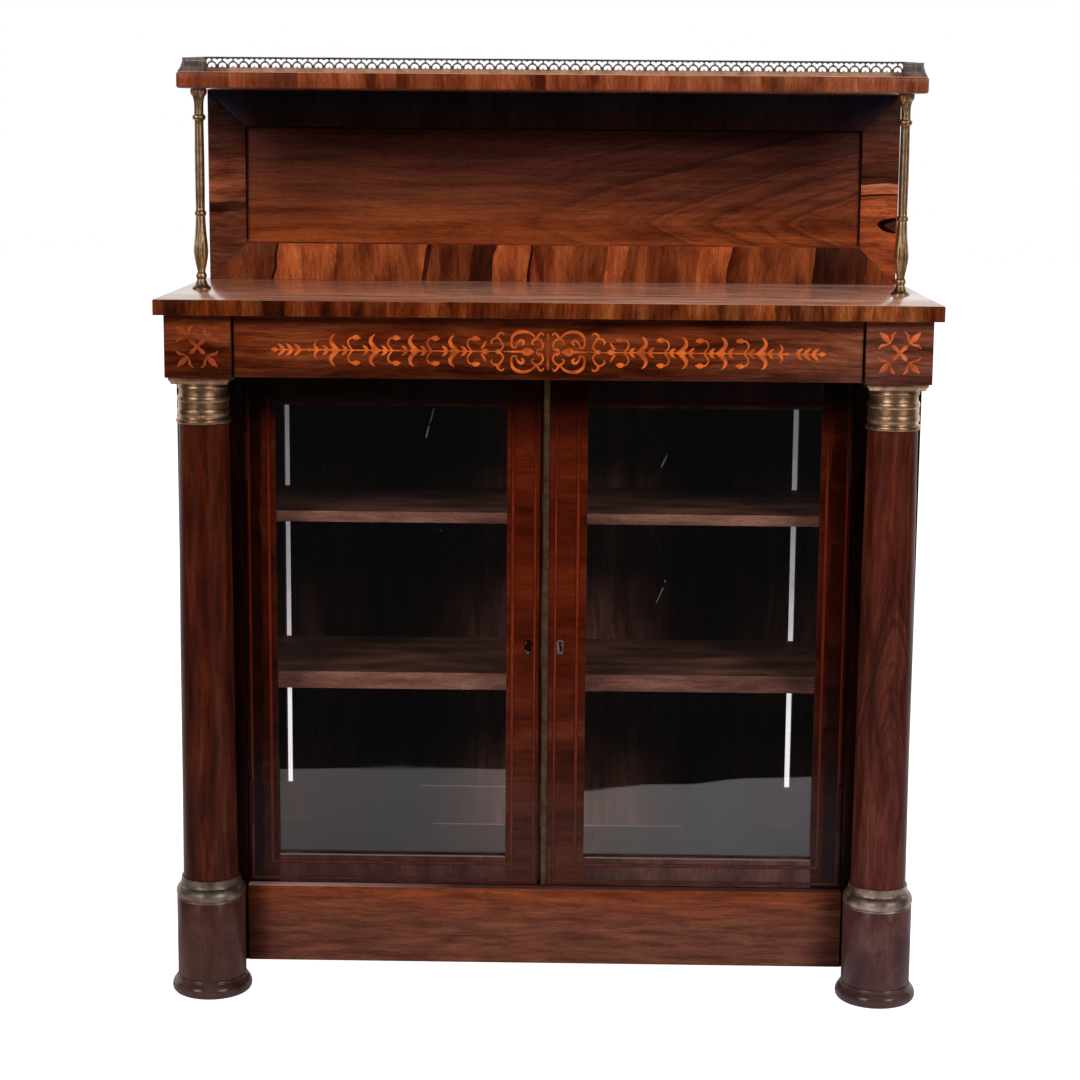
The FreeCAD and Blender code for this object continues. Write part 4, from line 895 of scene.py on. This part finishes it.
# Both stiles darken towards the top: painted shadow of the shelf; the right one is also warmer lower down.
left_skin = rosewood(
    "left_stile_skin", "X", stile_brown, bold=8.0, stretch=4.0, leaves=stile_leaves, along="Z", seed=2.9,
    fades=[("Z", 1.1, 1.165, (0.22, 0.34, 0.6))])
right_skin = rosewood(
    "right_stile_skin", "X", stile_brown, bold=8.0, stretch=4.0, leaves=right_leaves, along="Z", seed=3.3,
    fades=[("Z", 1.1, 1.165, (0.34, 0.5, 0.85)), ("Z", 1.07, 1.05, (1.4, 1.02, 0.66))])
low, high = (Vector(corner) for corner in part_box("back_panel_frame"))
end_gap = 0.0035
low.x, high.x = low.x + end_gap, high.x - end_gap
field_low, field_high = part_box("back_panel_moulding")
left, right, foot, head = low.x, high.x, low.z, high.z
in_left, in_right, in_foot, in_head = field_low[0], field_high[0], field_low[2], field_high[2]
for name, skin, outline in (
    ("foot_rail", rail_skin, ((left, foot), (right, foot), (in_right, in_foot), (in_left, in_foot))),
    ("head_rail", head_skin, ((right, head), (left, head), (in_left, in_head), (in_right, in_head))),
    ("left_stile", left_skin, ((left, head), (left, foot), (in_left, in_foot), (in_left, in_head))),
    ("right_stile", right_skin, ((right, foot), (right, head), (in_right, in_head), (in_right, in_foot))),
):
    mesh = bmesh.new()
    face = mesh.faces.new([mesh.verts.new((x, high.y, z)) for x, z in outline])
    raised(mesh, [face], (0, low.y - high.y, 0))
    bmesh.ops.recalc_face_normals(mesh, faces=mesh.faces)
    eased(mesh, 0.0003)
    piece = keep("panel_" + name, mesh, "carcass", skin)
    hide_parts("back_panel_frame")
knot_place = (0.4725, 1.017)
knot = [
    [(-12, 0, 1.5), (-6, 2.4, 4.2), (2, 5.5, 3.6), (14, 9, 2.2)],
    [(-10, -1, 1.5), (-3, -4, 3.6), (5, -8, 2.4), (14, -10.5, 1.2)]]
knot_heart = [[(-8, 0.4, 1.6), (1, 0.2, 4.4), (14, -0.4, 8.4)]]
inlaid("right_stile_knot_heart", knot_heart, knot_place, low.y, "carcass", head_skin, 0.00008)
inlaid("right_stile_knot", knot, knot_place, low.y, "carcass", line_dark)
# The moulding is near black: painted shadow of the sunk edge; its foot is pale: painted highlight.
moulding_shadow_and_highlight = rosewood(
    "moulding_shadow_and_highlight", "X", ((22, 10, 8), (32, 15, 11), (44, 21, 16)), lines=0.2, seed=2.2,
    fades=[("Z", 0.9895, 0.9875, (14.0, 12.0, 12.0))])
moulding_wide = 0.0022
piece = string_ring("panel_moulding", in_left, in_right, in_foot, in_head, moulding_wide, field_high[1],
                    field_high[1] - field_low[1], "carcass", moulding_shadow_and_highlight)
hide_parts("back_panel_moulding")

# ---- Balusters ----
# Cast and turned brass: trumpet head with leaves, slender stem, lobed vase and a spread foot.
# Each stands on the main top and carries one end of the shelf.
baluster_runs = [
    [(12.5, 933), (12.5, 934.6), (11.4, 936.2)],
    [(9.0, 938.0), (7.0, 942.5), (5.8, 946.0)],
    [(6.6, 947.0), (7.4, 950.5), (6.4, 954.0)],
    [(5.4, 955.0), (5.8, 959.0), (7.6, 967.0), (9.3, 979.0), (9.0, 991.0), (7.4, 1009.0), (6.4, 1028.0)],
    [(6.2, 1030.0), (7.6, 1032.0), (7.8, 1034.5), (6.6, 1037.0)],
    [(6.0, 1038.0), (6.3, 1073.0), (6.3, 1113.0), (5.9, 1155.0)],
    [(6.6, 1156.5), (8.6, 1158.5), (8.6, 1162.0), (6.8, 1164.0)],
    [(6.2, 1165.0), (6.3, 1174.0), (6.9, 1182.0), (8.4, 1187.5), (10.8, 1191.0), (11.4, 1194.2),
     (10.9, 1197.0), (9.8, 1197.98)],
]


def lobed(angle, height):
    """Eight rounded lobes on the vase, and four bold leaves that turn over at the head."""
    vase_middle, vase_reach, head_start, head_rise = 985, 40, 1172, 16
    lobe_depth, leaf_depth, evenness = 0.12, 0.34, 0.75
    vase = max(0, 1 - abs(height - vase_middle) / vase_reach)
    head = max(0, min(1, (height - head_start) / head_rise))
    lobe = 1 + (abs(math.cos(4 * angle)) - evenness) * lobe_depth * vase
    return lobe + (abs(math.sin(2 * angle)) - evenness) * leaf_depth * head


baluster_x, baluster_y = 0.469, -0.008
for side, sign in (("left", -1), ("right", 1)):
    baluster = spun("turned_baluster_" + side, baluster_runs, sign * baluster_x, baluster_y, "carcass",
                    warm_brass, lobes=lobed)
    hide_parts("baluster_" + side)

# ---- Gallery ----
# Sawn brass strip with a row of cusped arches under a row of hearts and a thin rail along its top:
# a back strip on a low foot, and a return along each end that falls and sweeps down to the front.
arch_hole = [
    (5.2, 0.4), (5.2, 2.6), (4.8, 4.3), (3.68, 5.72), (2.0, 6.66), (0, 7.0), (-2.0, 6.66), (-3.68, 5.72),
    (-4.8, 4.3), (-5.2, 2.6), (-5.2, 0.4), (-1.2, 0.4), (0, 3.0), (1.2, 0.4)]
half_heart = [
    (0, 4.2), (1.1, 5.3), (2.3, 6.9), (3.5, 8.0), (4.9, 8.8), (6.6, 9.8), (6.8, 10.9), (6.0, 12.1),
    (4.5, 12.6), (2.7, 12.4), (1.1, 11.4), (0, 10.8)]
heart_hole = half_heart + [(-across_mm, up_mm) for across_mm, up_mm in half_heart[-2:0:-1]]
shelf_top, strip_rise, fret_rise = 1219.5, 10.5, 25.5
fret_top = shelf_top + fret_rise


def fret_rings(start, stop, count):
    """Openings of a run of fretwork: whole hearts and arches, and half a heart at each end."""
    pitch_mm = (stop - start) / count
    base = shelf_top + strip_rise
    rings = [[(start + (index + 0.5) * pitch_mm + u, base + v) for u, v in arch_hole]
             for index in range(count)]
    rings += [[(start + index * pitch_mm + u, base + v) for u, v in heart_hole] for index in range(1, count)]
    for end, sign in ((start, 1), (stop, -1)):
        rings.append([(end + sign * max(u, 0.5), base + v) for u, v in half_heart])
    return rings


def sawn_strip(name, outline, rings, turned_by, moved_to, node):
    """Pierced sheet from an outline and its openings in millimetres, set upright in its place."""
    drawing = bpy.data.curves.new(name, "CURVE")
    drawing.dimensions = "2D"
    drawing.fill_mode = "BOTH"
    drawing.extrude = 0.0008
    for ring in [outline] + rings:
        traced(drawing, ring).use_cyclic_u = True
    mesh = from_drawing(drawing)
    bmesh.ops.remove_doubles(mesh, verts=mesh.verts, dist=0.00001)
    turned(mesh, math.pi / 2, "X")
    turned(mesh, turned_by, "Z")
    moved(mesh, moved_to)
    bmesh.ops.recalc_face_normals(mesh, faces=mesh.faces)
    piece = keep(name, mesh, "carcass", fret_brass, 0.5)
    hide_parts(node)


low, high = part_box("gallery_back")
end = high[0] * 1000 - 0.3
rail_thick, back_plane, return_plane, return_rail_height = 0.0018, 0.2111, 0.4923, 1.2408
outline = [(-end, shelf_top), (end, shelf_top), (end, fret_top), (-end, fret_top)]
sawn_strip("fret_back", outline, fret_rings(-end, end, 65), 0, (0, back_plane, 0), "gallery_back")
rail = board(
    "fret_back_rail", (low[0] + 0.001, low[1] + 0.0002, high[2] - rail_thick),
    (high[0] - 0.001, high[1] - 0.0002, high[2]), "carcass", [fret_brass], ease=0.0005)
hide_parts("gallery_back")
rear, corner, front_end, fall = 211.9, 16.5, -29.4, 6.0


def fallen(point):
    """A point of a return, brought down more the further it is from the back."""
    drop = fall / fret_rise * (rear - point[0]) / (rear - corner)
    return point[0], shelf_top + (point[1] - shelf_top) * (1 - drop)


sweep = flow([(corner, 1238.9), (12.0, 1235.8), (1.3, 1229.7), (-14.0, 1224.0), (front_end, 1220.6)], 4)
outline = [(front_end, shelf_top), (rear, shelf_top), (rear, fret_top)] + [tuple(point) for point in sweep]
rings = [[fallen(point) for point in ring] for ring in fret_rings(corner + 1, rear - 1, 13)]
length = (rear - corner) / 1000
for side, sign in (("left", -1), ("right", 1)):
    sawn_strip("fret_" + side, outline, rings, math.pi / 2, (sign * return_plane, 0, 0), "gallery_" + side)
    low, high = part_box("gallery_" + side)
    mesh = bmesh.new()
    bmesh.ops.create_cube(mesh, size=1)
    bmesh.ops.scale(mesh, verts=mesh.verts, vec=(high[0] - low[0] - 0.0004, length, rail_thick))
    eased(mesh, 0.0005)
    turned(mesh, math.atan2(fall / 1000, length), "X")
    moved(mesh, ((low[0] + high[0]) / 2, (rear + corner) / 2000, return_rail_height))
    rail = keep(f"fret_{side}_rail", mesh, "carcass", fret_brass)
    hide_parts("gallery_" + side)
foot_brass = brass("foot_brass", (188, 142, 110), (132, 94, 70), 0.5, metal=0.3)
foot_top = (shelf_top + strip_rise - 0.3) / 1000
board("fret_back_foot", (-end / 1000, 0.2088, shelf_top / 1000), (end / 1000, 0.2103, foot_top), "carcass",
      [foot_brass], ease=0.0003)
